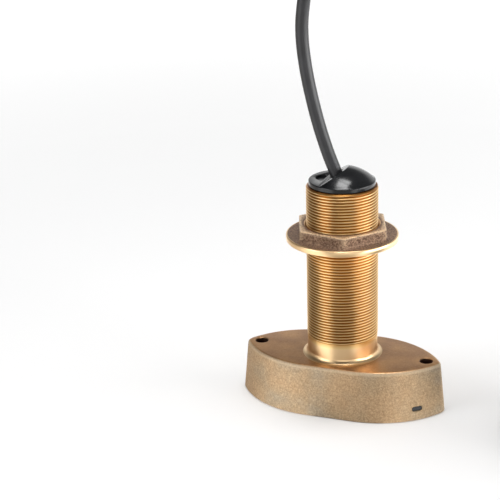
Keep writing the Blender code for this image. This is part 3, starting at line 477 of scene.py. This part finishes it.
# Stem cap. Moulded in black ABS with a polished dome; one side is cut to a sloping face, which
# the cable comes out of, and a flat with a shallow trough. Its plug is a push fit in the bore.
cap_radius, rim_foot, rim_height, rim_round = 17.65 * mm, stem_top + 0.3 * mm, 2.4 * mm, 0.5 * mm
dome_height, face_slope, face_start = 6.9 * mm, 33.0, 7.3 * mm
plug_radius, plug_foot, plug_edge = bore_radius - 0.3 * mm, stem_top - 10 * mm, 0.8 * mm
seal_level, seal_width = stem_top - 5 * mm, 1.6 * mm
trough_radius, trough_depth, trough_start = 5.5 * mm, 1.2 * mm, face_start + 1.6 * mm
cable_radius, cable_lean, cable_bearing = 3.5 * mm, math.radians(24.0), math.radians(169.5)
rim_top = rim_foot + rim_height
dome_radius = cap_radius - rim_round
sphere = (dome_radius ** 2 + dome_height ** 2) / (2 * dome_height)
groove_in, groove_half = bore_radius - seal_width - 0.6 * mm, seal_width / 2 + 0.3 * mm
profile = [(plug_radius - plug_edge, plug_foot), (plug_radius, plug_foot + plug_edge)]
profile += [(plug_radius, seal_level - groove_half), (groove_in, seal_level - groove_half)]
profile += [(groove_in, seal_level + groove_half), (plug_radius, seal_level + groove_half)]
profile += [(plug_radius, rim_foot), (cap_radius - 0.2 * mm, rim_foot)]
profile += [(cap_radius, rim_foot + 0.2 * mm)]
profile += arc(cap_radius - rim_round, rim_top - rim_round, rim_round, 0.0, 75.0, 5)
opening = math.degrees(math.asin(dome_radius / sphere))
profile += arc(0.0, rim_top + dome_height - sphere, sphere, 90.0 - opening, 89.0, 26)
cap = turn_up("stem_cap_moulding", profile, 144)

crown, reach = rim_top + dome_height + 1 * mm, 2 * cap_radius
face_run = (crown - rim_top) / math.tan(math.radians(face_slope))
side_view = [(face_start, rim_top), (reach, rim_top), (reach, crown), (face_start - face_run, crown)]
wedge = draw_up("cap_wedge", [(side_view, -reach), (side_view, reach)])
wedge.matrix_world = Matrix.Rotation(math.pi, 4, "Z") @ Matrix.Rotation(math.pi / 2, 4, "X")
cut_with(cap, wedge)
half_disc = arc(trough_start, 0.0, trough_radius, -90.0, 90.0, 32)
half_disc = [(-x, -y) for x, y in half_disc]
trough = [(half_disc, rim_top - trough_depth), (half_disc, rim_top + 1 * mm)]
cut_with(cap, draw_up("cap_trough", trough))
# The cable's hole leans the cable's way, and is wider where the cable comes out.
cable_seat = Matrix.Translation((0.0, 0.0, stem_top)) @ Matrix.Rotation(cable_bearing, 4, "Z")
cable_seat = cable_seat @ Matrix.Translation(((0.2 + 2.0 * math.tan(cable_lean)) * mm, 0.0, 0.0))
cable_seat = cable_seat @ Matrix.Rotation(cable_lean, 4, "Y")
for radius, low in ((cable_radius + 0.3 * mm, -20 * mm), (cable_radius + 0.7 * mm, 2.5 * mm)):
    hole = post("cable_hole", radius, low, 20 * mm, steps=64)
    hole.matrix_world = cable_seat @ Matrix.Translation((0.0, 0.0, (low + 20 * mm) / 2))
    cut_with(cap, hole)
work_on(cap)
soften = cap.modifiers.new("soften", "BEVEL")
soften.width, soften.segments = 0.16 * mm, 2
soften.limit_method, soften.angle_limit = "ANGLE", math.radians(25.0)
bpy.ops.object.modifier_apply(modifier="soften")
settle(cap, 40.0)

# Moulded ABS, polished on the dome: deep black gloss with a slight ripple and faint haze.
gloss_abs, tree, place = new_finish("polished_black_abs", "#101113", 0.1)
haze = add(tree, "TexNoise", {"Vector": place, "Scale": clump / (6 * mm), "Detail": 3.0})
add(tree, "ValToRGB", {"Fac": haze.outputs["Fac"]}, (
    (0.35, "#0D0E10"), (0.65, "#151618")), to="Base Color")
add(tree, "MapRange", {0: haze.outputs["Fac"], 1: 0.3, 2: 0.7, 3: 0.16, 4: 0.22}, to="Roughness")
ripple = add(tree, "TexNoise", {"Vector": place, "Scale": clump / (1.5 * mm), "Detail": 2.0})
add(tree, "Bump", {
    "Height": ripple.outputs["Fac"], "Distance": 0.04 * mm, "Strength": 0.08}, to="Normal")
cap.data.materials.clear()
cap.data.materials.append(gloss_abs)
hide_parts("stem_cap")
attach(cap, "transducer")

# Cable. Two cores and a screen in a grey extruded jacket of 7 mm, 10 m of it: up out of the
# cap, over in one stiff arc, down to a tied hank beside the base, and on to the connector.
# The hank, sized in mm, is folded to and fro in six layers of four lanes, with 23 turns.
cable_lay, hank_place, hank_run, hank_lowest = 7.0, 189.0, 105.0, 5.3
lanes = [21.0, 28.0, 35.0, 42.0]


def smooth_through(route, spacing):
    """Points at an even spacing along a smooth curve through the route, both in mm."""
    route = [Vector(point) for point in route]
    padded = [2 * route[0] - route[1]] + route + [2 * route[-1] - route[-2]]
    fine = []
    for before, start, end, after in zip(padded, padded[1:], padded[2:], padded[3:]):
        for t in [step / 24 for step in range(24)]:
            fine.append(0.5 * (
                2 * start + (end - before) * t + (2 * before - 5 * start + 4 * end - after) * t ** 2
                + (3 * start - before - 3 * end + after) * t ** 3))
    fine.append(route[-1])
    points, walked = [fine[0]], 0.0
    for start, end in zip(fine, fine[1:]):
        walked += (end - start).length
        if walked >= spacing:
            points.append(end)
            walked = 0.0
    return points


def hank_point(way, radius, height):
    """Point in mm of the loop with round ends, clockwise from above. way runs from 0 at the
    start of the back run to 1 where it ends, 2 after the right end, 3 after the front run and 4
    after the left end."""
    part, share = int(way) % 4, way - int(way)
    side = hank_run / 2
    if part in (0, 2):
        along = side * (2 * share - 1)
        return (hank_place + (along if part == 0 else -along), radius if part == 0 else -radius, height)
    turn = math.radians(90.0 - 180.0 * share)
    sign = 1 if part == 1 else -1
    return (hank_place + sign * (side + radius * math.cos(turn)), sign * radius * math.sin(turn), height)


def ease(share):
    return share * share * (3 - 2 * share)


# The arc lies in the plane of the cable's lean, as (distance across, height) in mm; from there
# on the cable comes down and turns into the hank, as (x, y, z) in mm.
arc_route = [(0.2, 121), (4.2, 130), (8.3, 139.2), (13.3, 153), (17.6, 168), (20.9, 183)]
arc_route += [(22.8, 198), (22.4, 212), (18.6, 231), (9.5, 250), (-5, 266), (-24, 277)]
arc_route += [(-46, 281.5), (-68, 278.5), (-89, 268), (-107, 250.5), (-120, 227)]
free = [(across * math.cos(cable_bearing), across * math.sin(cable_bearing), height)
        for across, height in arc_route]
free += [(121, -25.5, 200), (121.4, -29.5, 170), (119.4, -33.5, 141), (115.8, -36.8, 114)]
free += [(111, -38, 90), (105.9, -33.5, 69.5), (102.4, -22, 55.4), (101.4, -7.4, 48.8)]
free += [(101.8, 7.4, 47.6), (107.1, 19.9, 47.6), (116.6, 29.4, 47.4), (130, 35.2, 46.0)]
free += [(145, 35.4, 43.2), (158, 35.1, 41.0)]

# Each lane and level in turn, from the top layer down; the top layer leaves its outer lane free.
stops = [(radius, hank_lowest + 5 * cable_lay) for radius in lanes[2::-1]]
for layer in range(4, -1, -1):
    order = lanes if layer % 2 == 0 else lanes[::-1]
    stops += [(radius, hank_lowest + layer * cable_lay) for radius in order]
shift_start, shift_end = 2.48, 2.88
wound = []
for index, (radius, height) in enumerate(stops):
    first = 0.34 if index == 0 else shift_end - 4.0
    last_turn = index + 1 == len(stops)
    ways = [first] if first > 0 else [first, first + 0.06]
    ways += [-1.0 + step / 12 for step in range(13)] if index else []
    ways += [0.4, 0.7] if index == 0 else [0.3, 0.6]
    if last_turn:
        ways = [way for way in ways if way < 0.75] + [0.75, 0.9]
    else:
        ways += [1.0 + step / 12 for step in range(13)] + [2.2, shift_start - 0.03]
    wound += [hank_point(way + 4.0, radius, height) for way in ways]
    if last_turn:
        break
    onto_radius, onto_height = stops[index + 1]
    # Going down a layer, the cable swings 4 mm clear of the lane that it leaves.
    bulge = 0.0 if onto_height == height else (4.0 if radius == lanes[-1] else -4.0)
    for step in range(9):
        share = step / 8
        middle = radius + (onto_radius - radius) * ease(share) + bulge * math.sin(math.pi * share)
        level = height + (onto_height - height) * ease(share)
        wound.append(hank_point(shift_start + (shift_end - shift_start) * share, middle, level))

# Out of the lowest outer lane, round in one bend and straight into the connector.
way_out = [hank_point(1.0, 42.3, 5.3), (253.5, 44.6, 5.3)]
way_out += [(264.6, 43.5, 5.3), (274.4, 38.5, 5.3), (284, 33.3, 5.9), (292.6, 26.6, 7.5)]
way_out += [(298, 17.9, 9.5), (300, 9, 11.2), (300, 5.5, 11.2), (300, -28.8, 11.2)]
route = smooth_through(free, 3.5) + [Vector(spot) for spot in wound]
route += smooth_through(way_out, 3.5)
route = [spot * mm for spot in route]

rest_selection()
bpy.ops.curve.primitive_nurbs_path_add()
cable = bpy.context.object
cable.name = "grey_jacketed_cable"
cable.data.splines.clear()
line = cable.data.splines.new("POLY")
line.points.add(len(route) - 1)
for spot, place in zip(line.points, route):
    spot.co = (*place, 1.0)
cable.data.dimensions = "3D"
cable.data.bevel_depth = cable_radius - 0.03 * mm
cable.data.bevel_resolution = 6
cable.data.use_fill_caps = True
line.use_smooth = True

# Extruded PVC: even dark grey with a satin sheen, in faint patches from handling.
jacket, tree, place = new_finish("grey_pvc_jacket", "#28282A", 0.4)
scuff = add(tree, "TexNoise", {"Vector": place, "Scale": clump / (7 * mm), "Detail": 4.0})
add(tree, "ValToRGB", {"Fac": scuff.outputs["Fac"]}, (
    (0.35, "#232325"), (0.65, "#2D2D30")), to="Base Color")
cable.data.materials.append(jacket)
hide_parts("cable", "cable_coil", "cable_tail")
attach(cable, "transducer")

# Two ties on the hank. Black nylon webbing straps, 8 mm wide, woven flat, each drawn round the
# folded cable and sewn to a closed loop.
strap_half, strap_edge, strap_thick, strap_bend = 4.0 * mm, 0.35 * mm, 1.2 * mm, 4.6 * mm
strap_gap = 0.05 * mm
# A wave at scale 1 repeats every 0.31 m.
wave = 0.31

# Woven nylon: matt black, with raised rows and slanting picks of about a millimetre.
webbing, tree, place = new_finish("black_nylon_webbing", "#1B1B1D", 0.62)
rows = add(tree, "TexWave", {
    "Vector": place, "Scale": wave / (1.1 * mm), "Distortion": 0.4}, bands_direction="X")
picks = add(tree, "TexWave", {
    "Vector": place, "Scale": wave / (0.9 * mm), "Distortion": 0.4}, bands_direction="DIAGONAL")
weave = add(tree, "Math", {0: rows.outputs["Fac"], 1: picks.outputs["Fac"]}, operation="MULTIPLY")
add(tree, "ValToRGB", {"Fac": weave.outputs[0]}, ((0.1, "#131315"), (0.8, "#2C2C2F")), to="Base Color")
add(tree, "Bump", {"Height": weave.outputs[0], "Distance": 0.2 * mm, "Strength": 0.5}, to="Normal")

for number in (1, 2):
    low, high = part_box(f"coil_tie_{number}")
    strap_x = (low[0] + high[0]) / 2
    near, far = low[1] + strap_gap + strap_bend, high[1] - strap_gap - strap_bend
    foot, top = low[2] + strap_gap + strap_bend, high[2] - strap_gap - strap_bend
    outer, inner = [], []
    for y, z, turn in ((far, foot, -90.0), (far, top, 0.0), (near, top, 90.0), (near, foot, 180.0)):
        outer += arc(y, z, strap_bend, turn, turn + 90.0, 8)
        inner += arc(y, z, strap_bend - strap_thick, turn, turn + 90.0, 8)
    middle = [((y + v) / 2, (z + w) / 2) for (y, z), (v, w) in zip(outer, inner)]
    edge = strap_half - strap_edge
    rings = [(outer, -edge), (outer, edge), (middle, strap_half)]
    rings += [(inner, edge), (inner, -edge), (middle, -strap_half)]
    strap = draw_up(f"hank_strap_{number}", rings, hollow=True)
    strap.matrix_world = Matrix(((0, 0, 1, strap_x), (1, 0, 0, 0), (0, 1, 0, 0), (0, 0, 0, 1)))
    settle(strap, 40.0)
    strap.data.materials.append(webbing)
    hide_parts(f"coil_tie_{number}")
    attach(strap, "transducer")

# Connector on the cable's end. A rubber boot moulded over the jacket, a nylon back nut that
# clamps it, and a plated brass shell with its nylon insert; the collar turns on the shell.
# Profiles are in mm, as (radius, distance from where the cable enters the boot).
entry = Vector((300.0, 5.5, 11.2)) * mm
back_start, shell_start, shell_end, nut_corners = 26.3, 34.6, 54.6, 8.5
insert_foot, insert_top, seal_middle = 40.6, 49.6, 44.3
contact_circle, contact_count, flute_circle, flute_count = 3.0 * mm, 6, 11.7 * mm, 12


def in_metres(profile):
    return [(radius * mm, height * mm) for radius, height in profile]


def lay_on_cable(piece, angle):
    """Turns a piece made up the Z axis along the cable's end, and settles it there."""
    piece.matrix_world = Matrix.Translation(entry) @ Matrix.Rotation(math.pi / 2, 4, "X")
    settle(piece, angle)


profile = [(3.8, 0.0), (4.6, 0.0), (4.9, 0.3)]
for rib in range(6):
    foot, widest = 1.6 + 3.1 * rib, 4.95 + 0.17 * rib
    profile += [(widest, foot), (widest - 0.75, foot + 0.25), (widest - 0.75, foot + 1.0)]
    profile += [(widest + 0.05, foot + 1.25)]
profile += [(5.9, 20.6), (6.7, 20.8), (7.0, 21.1), (7.0, 25.6), (6.6, 26.0), (3.8, 26.0)]
boot = turn_up("connector_boot_moulding", in_metres(profile), 64, hollow=True)
lay_on_cable(boot, 30.0)

profile = [(3.8, back_start), (7.2, back_start), (nut_corners, back_start + 0.8)]
profile += [(nut_corners, shell_start - 1.1), (7.2, shell_start - 0.3), (3.8, shell_start - 0.3)]
back_nut = turn_up("connector_back_nut", in_metres(profile), 96, hollow=True)
# Points outside the hexagon are pulled in to its flats.
for spot in back_nut.data.vertices:
    around, bearing = math.hypot(spot.co.x, spot.co.y), math.atan2(spot.co.y, spot.co.x)
    to_flat = (bearing + math.pi / 6) % (math.pi / 3) - math.pi / 6
    limit = nut_corners * mm * math.cos(math.pi / 6) / math.cos(math.pi / 6 - abs(to_flat))
    if around > limit:
        spot.co.x, spot.co.y = spot.co.x * limit / around, spot.co.y * limit / around
lay_on_cable(back_nut, 25.0)

profile = [(6.8, shell_end - 0.3), (6.5, shell_end), (5.7, shell_end), (5.5, shell_end - 0.2)]
profile += [(5.5, insert_foot - 0.3), (1.0, insert_foot - 0.3), (1.0, shell_start)]
profile += [(8.2, shell_start), (8.5, shell_start + 0.3), (8.5, shell_start + 2.7)]
profile += [(8.2, shell_start + 3.0), (6.8, shell_start + 3.0), (6.8, seal_middle - 1.0)]
profile += [(5.8, seal_middle - 1.0), (5.8, seal_middle + 1.0), (6.8, seal_middle + 1.0)]
shell = turn_up("connector_shell", in_metres(profile), 96, hollow=True)
lay_on_cable(shell, 30.0)

profile = arc(6.75, seal_middle, 0.7, 0.0, 345.0, 23)
seal = turn_up("connector_o_ring", in_metres(profile), 72, hollow=True)
lay_on_cable(seal, 60.0)

profile = [(5.2, insert_foot), (5.2, insert_top - 0.3), (4.9, insert_top), (4.1, insert_top)]
profile += [(4.0, insert_top - 0.4), (0.4, insert_top - 0.4)]
insert = turn_up("connector_contact_block", in_metres(profile), 72)
turns = [math.tau * index / contact_count for index in range(contact_count)]
contact_spots = [(contact_circle * math.cos(turn), contact_circle * math.sin(turn)) for turn in turns]
for spot in contact_spots:
    well = post(
        "contact_well", 1.05 * mm, (insert_foot + 2.7) * mm, (insert_top + 1.0) * mm, *spot, steps=24)
    cut_with(insert, well)
lay_on_cable(insert, 30.0)

profile = [(0.75, insert_foot + 3.0), (0.75, insert_top - 0.55)]
profile += arc(0.2, insert_top - 0.55, 0.55, 10.0, 80.0, 4)
contacts = []
for number, (x, y) in enumerate(contact_spots, 1):
    contact = turn_up(f"contact_pin_{number}", in_metres(profile), 20)
    for spot in contact.data.vertices:
        spot.co.x += x
        spot.co.y += y
    lay_on_cable(contact, 50.0)
    contacts.append(contact)

collar_start, collar_end = shell_start + 3.3, shell_start + 19.3
profile = [(9.2, collar_end - 0.4), (9.6, collar_end), (10.4, collar_end), (11.0, collar_end - 0.6)]
profile += [(11.0, collar_end - 2.6), (10.55, collar_end - 2.9), (10.55, collar_end - 3.3)]
profile += [(11.0, collar_end - 3.6), (11.0, collar_start + 0.6), (10.4, collar_start)]
profile += [(7.2, collar_start), (7.1, collar_start + 0.2), (7.1, collar_start + 5.0)]
profile += [(9.2, collar_start + 5.0)]
for ridge in range(8):
    level = collar_start + 5.8 + 1.2 * ridge
    profile += [(9.2, level), (9.55, level + 0.3), (9.55, level + 0.6), (9.2, level + 0.9)]
collar = turn_up("coupling_collar", in_metres(profile), 144, hollow=True)
for index in range(flute_count):
    turn = math.tau * (index + 0.5) / flute_count
    spot = (flute_circle * math.cos(turn), flute_circle * math.sin(turn))
    flute = post("flute", 1.4 * mm, (collar_start + 1.2) * mm, (collar_end - 4.2) * mm, *spot, steps=20)
    cut_with(collar, flute)
lay_on_cable(collar, 30.0)

# Moulded rubber: matt black, slightly dusty, with a fine grain.
boot_rubber, tree, place = new_finish("moulded_black_rubber", "#1A1A1B", 0.68)
dust = add(tree, "TexNoise", {"Vector": place, "Scale": clump / (3 * mm), "Detail": 4.0})
add(tree, "ValToRGB", {"Fac": dust.outputs["Fac"]}, (
    (0.35, "#151516"), (0.7, "#262627")), to="Base Color")
grain = add(tree, "TexNoise", {"Vector": place, "Scale": clump / (0.4 * mm), "Detail": 2.0})
add(tree, "Bump", {"Height": grain.outputs["Fac"], "Distance": 0.05 * mm, "Strength": 0.3}, to="Normal")

# Moulded nylon: satin black with faint flow marks.
nylon, tree, place = new_finish("moulded_black_nylon", "#1E1E20", 0.42)
flow = add(tree, "TexNoise", {"Vector": place, "Scale": clump / (2.5 * mm), "Detail": 3.0})
add(tree, "ValToRGB", {"Fac": flow.outputs["Fac"]}, (
    (0.35, "#19191B"), (0.7, "#29292C")), to="Base Color")
add(tree, "MapRange", {0: flow.outputs["Fac"], 1: 0.3, 2: 0.7, 3: 0.36, 4: 0.5}, to="Roughness")

# Nickel on turned brass: bright and warm grey, smudged, with fine turning lines.
nickel, tree, place = new_finish("nickel_plated_brass", "#C9C6BE", 0.22, 1.0)
handled = add(tree, "TexNoise", {"Vector": place, "Scale": clump / (5 * mm), "Detail": 4.0})
add(tree, "ValToRGB", {"Fac": handled.outputs["Fac"]}, (
    (0.3, "#B9B5AA"), (0.7, "#D6D3CC")), to="Base Color")
add(tree, "MapRange", {0: handled.outputs["Fac"], 1: 0.3, 2: 0.7, 3: 0.16, 4: 0.3}, to="Roughness")
along = add(tree, "Mapping", {"Vector": place, "Scale": (0.02, 1.0, 0.02)})
turning = add(tree, "TexNoise", {"Vector": along.outputs[0], "Scale": clump / (0.2 * mm), "Detail": 2.0})
add(tree, "Bump", {
    "Height": turning.outputs["Fac"], "Distance": 0.02 * mm, "Strength": 0.15}, to="Normal")

# Gold plate: bright yellow, a little worn.
gold, tree, place = new_finish("gold_plate", "#E6BE6E", 0.2, 1.0)
worn_gold = add(tree, "TexNoise", {"Vector": place, "Scale": clump / (1.0 * mm), "Detail": 2.0})
add(tree, "ValToRGB", {"Fac": worn_gold.outputs["Fac"]}, (
    (0.35, "#D9AF60"), (0.7, "#F0CC82")), to="Base Color")

connector_pieces = [
    (boot, boot_rubber, "connector_boot", "black_rubber"),
    (back_nut, nylon, "connector_nut", "black_nylon"),
    (shell, nickel, "connector_body", "plated_brass"),
    (seal, boot_rubber, "connector_seal", "black_rubber"),
    (insert, nylon, "connector_insert", "black_nylon"),
    (collar, nickel, "connector_collar", "plated_brass")]
connector_pieces += [(contact, gold, f"connector_contact_{number}", "gold_contact")
                     for number, contact in enumerate(contacts, 1)]
for piece, finish, node, finish_slot in connector_pieces:
    piece.data.materials.clear()
    piece.data.materials.append(finish)
    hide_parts(node)
    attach(piece, "collar" if piece is collar else "transducer")

# Sealed pieces inside the base and stem. The acoustic window is dark urethane poured into the
# cup; the silvered ceramic disc sits in cork under amber resin, with its leads up the stem.

# Poured urethane: dark grey satin, duller in patches, with fine scuffs.
urethane, tree, place = new_finish("dark_urethane", "#1F2123", 0.4)
pour = add(tree, "TexNoise", {
    "Vector": place, "Scale": clump / (12 * mm), "Detail": 4.0, "Distortion": 0.6})
add(tree, "ValToRGB", {"Fac": pour.outputs["Fac"]}, (
    (0.35, "#1A1C1E"), (0.68, "#282A2C")), to="Base Color")
add(tree, "MapRange", {0: pour.outputs["Fac"], 1: 0.3, 2: 0.7, 3: 0.32, 4: 0.48}, to="Roughness")
scuffs = add(tree, "TexNoise", {"Vector": place, "Scale": clump / (0.7 * mm), "Detail": 3.0})
add(tree, "Bump", {"Height": scuffs.outputs["Fac"], "Distance": 0.05 * mm, "Strength": 0.3}, to="Normal")

# Cork in rubber: brown crumbs of a millimetre and more, darker between them, quite matt.
cork, tree, place = new_finish("cork_and_rubber_sheet", "#7C5536", 0.85)
crumbs = add(tree, "TexVoronoi", {"Vector": place, "Scale": 1 / (1.3 * mm)})
add(tree, "ValToRGB", {"Fac": crumbs.outputs["Distance"]}, (
    (0.1, "#A0744C"), (0.7, "#4C3423")), to="Base Color")
add(tree, "Bump", {
    "Height": crumbs.outputs["Distance"], "Distance": 0.2 * mm, "Strength": 0.4}, to="Normal")

# Fired silver: pale satin with brown-grey tarnish. Cast epoxy: glossy amber in slow swirls.
# Nitrile rubber: dull black. The leads' PVC: red and white, clean and satin.
sealed = {}
for name, base, roughness, metallic, size, detail, swirl, dark, light in (
        ("fired_silver_on_ceramic", "#BDB8AE", 0.4, 0.8, 6, 4.0, 0.0, (0.3, "#A39C8C"), (0.7, "#D2CEC6")),
        ("cast_amber_epoxy", "#8A5A24", 0.16, 0.0, 9, 3.0, 1.0, (0.3, "#74481A"), (0.7, "#A06E30")),
        ("nitrile_o_ring", "#141415", 0.5, 0.0, 2, 3.0, 0.0, (0.35, "#101011"), (0.7, "#1F1F20")),
        ("red_insulation", "#C22A20", 0.4, 0.0, 2, 2.0, 0.0, (0.35, "#A01812"), (0.65, "#C22A20")),
        ("white_insulation", "#E2E0DB", 0.4, 0.0, 2, 2.0, 0.0, (0.35, "#C9C7C2"), (0.65, "#E2E0DB"))):
    sealed[name], tree, place = new_finish(name, base, roughness, metallic)
    patches = add(tree, "TexNoise", {
        "Vector": place, "Scale": clump / (size * mm), "Detail": detail, "Distortion": swirl})
    add(tree, "ValToRGB", {"Fac": patches.outputs["Fac"]}, (dark, light), to="Base Color")

for node, finish in (
        ("acoustic_window", urethane), ("isolation_ring", cork), ("backing_pad", cork),
        ("ceramic_disc", sealed["fired_silver_on_ceramic"]),
        ("backing_resin", sealed["cast_amber_epoxy"]), ("thermistor", sealed["cast_amber_epoxy"]),
        ("thermistor_lead", jacket), ("cable_inner", jacket),
        ("lead_live", sealed["red_insulation"]), ("lead_return", sealed["white_insulation"]),
        ("cap_seal", sealed["nitrile_o_ring"])):
    for finish_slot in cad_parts[node].material_slots:
        finish_slot.material = finish

# Photograph's set: a white sweep, soft boxes at each side, overhead and in front, and the dark
# of the room round the camera, which the polished metal shows as the darker middle of the stem.
towards_camera, to_its_right = Vector((0.299, -0.954, 0.0)), Vector((0.954, 0.299, 0.0))
floor_grey, floor_size, floor_level = "#E6E6E6", 12.0, -0.2 * mm


def room_level(tree, direction):
    """How bright the set is in a direction, by its bearing from the camera's: dark round the
    camera at 0.5, grey behind to the left, and white elsewhere."""
    ahead = add(tree, "VectorMath", {0: direction, 1: towards_camera}, operation="DOT_PRODUCT")
    across = add(tree, "VectorMath", {0: direction, 1: to_its_right}, operation="DOT_PRODUCT")
    bearing = add(tree, "Math", {
        0: across.outputs["Value"], 1: ahead.outputs["Value"]}, operation="ARCTAN2")
    bearing = add(tree, "MapRange", {0: bearing.outputs[0], 1: -math.pi, 2: math.pi})
    return add(tree, "ValToRGB", {"Fac": bearing.outputs[0]}, (
        (0.07, "#FFFFFF"), (0.97, "#FFFFFF"), (0.13, "#8C847C"), (0.24, "#8C847C"), (0.285, "#FFFFFF"),
        (0.40, "#FFFFFF"), (0.42, "#544C44"), (0.575, "#544C44"), (0.605, "#FFFFFF")))


# Paper sweep: matt and pale. What the lamps leave grey far off is lifted to white for the
# camera, less near the object, so that its shadow shows; metal sees the whole set in it.
white, tree, place = new_finish("white_sweep", "#FFFFFF", 0.9)
ray = add(tree, "LightPath")
level = room_level(tree, place)
level = add(tree, "Mix", {0: 0.7, 6: colour(floor_grey), 7: level.outputs[0]})
tint = add(tree, "Mix", {
    0: ray.outputs["Is Glossy Ray"], 6: colour(floor_grey), 7: level.outputs[2]}, to="Base Color")
tree.links.new(tint.outputs[2], tree.nodes["Principled BSDF"].inputs["Emission Color"])
away = add(tree, "VectorMath", {0: place}, operation="LENGTH")
lift = add(tree, "MapRange", {
    0: away.outputs["Value"], 1: 0.25, 2: 1.6, 3: 0.13, 4: 1.0}, interpolation_type="SMOOTHSTEP")
lift = add(tree, "Math", {0: ray.outputs["Is Camera Ray"], 1: lift.outputs[0]}, operation="MULTIPLY")
also = add(tree, "Math", {0: ray.outputs["Is Glossy Ray"], 1: 0.6}, operation="MULTIPLY")
add(tree, "Math", {0: lift.outputs[0], 1: also.outputs[0]}, operation="ADD", to="Emission Strength")
rest_selection()
bpy.ops.mesh.primitive_plane_add(size=floor_size, location=(0.0, 0.0, floor_level))
floor = bpy.context.object
floor.name = "sweep"
floor.data.materials.append(white)

# Room: white to the camera, plain and even on the object, and in metal the set's own levels,
# which fall off upwards.
world = bpy.data.worlds.new("studio")
bpy.context.scene.world = world
world.use_nodes = True
tree = world.node_tree
backdrop = tree.nodes["Background"]
direction = add(tree, "TexCoord").outputs["Generated"]
ray = add(tree, "LightPath")
level = room_level(tree, direction)
rise = add(tree, "SeparateXYZ", {"Vector": direction}).outputs["Z"]
dim = add(tree, "MapRange", {
    0: rise, 1: 0.24, 2: 0.50, 3: 1.0, 4: 0.16}, interpolation_type="SMOOTHSTEP")
room = add(tree, "Mix", {0: 1.0, 6: level.outputs[0], 7: dim.outputs[0]}, blend_type="MULTIPLY")
shown = add(tree, "Mix", {0: ray.outputs["Is Glossy Ray"], 6: colour("#FFFFFF"), 7: room.outputs[2]})
tree.links.new(shown.outputs[2], backdrop.inputs["Color"])
strength = add(tree, "MapRange", {0: ray.outputs["Is Diffuse Ray"], 3: 1.0, 4: 0.38})
tree.links.new(strength.outputs[0], backdrop.inputs["Strength"])


def soft_box(name, place, target, width, height, power):
    rest_selection()
    bpy.ops.object.light_add(type="AREA", location=place)
    lamp = bpy.context.object
    lamp.name = name
    lamp.data.shape, lamp.data.size, lamp.data.size_y = "RECTANGLE", width, height
    lamp.data.energy = power
    lamp.rotation_euler = (Vector(target) - Vector(place)).to_track_quat("-Z", "Y").to_euler()


soft_box("left_soft_box", (-0.85, -0.95, 0.65), (0.0, 0.0, 0.08), 0.7, 0.9, 5.4)
soft_box("right_soft_box", (1.24, 0.02, 0.32), (0.0, 0.0, 0.06), 1.2, 0.6, 13.5)
soft_box("top_soft_box", (0.05, 0.0, 1.35), (0.0, 0.0, 0.0), 0.55, 0.5, 10.0)
soft_box("front_soft_box", (0.55, -1.55, 0.30), (0.0, 0.0, 0.05), 1.2, 0.4, 3.4)

# The photograph's viewpoint, fitted to the stem, the base and the nut.
camera_place = Vector((236.38, -752.75, 380.89)) * mm
camera_turn, camera_fall, camera_roll = (math.radians(angle) for angle in (20.995, 20.435, -1.467))
bpy.ops.object.camera_add()
camera = bpy.context.object
camera.matrix_world = (
    Matrix.Translation(camera_place) @ Matrix.Rotation(camera_turn, 4, "Z")
    @ Matrix.Rotation(math.pi / 2 - camera_fall, 4, "X") @ Matrix.Rotation(camera_roll, 4, "Z"))
camera.data.lens, camera.data.sensor_width = 113.95, 36.0
camera.data.clip_end = 20.0
bpy.context.scene.camera = camera
bpy.context.scene.view_settings.view_transform = "Standard"
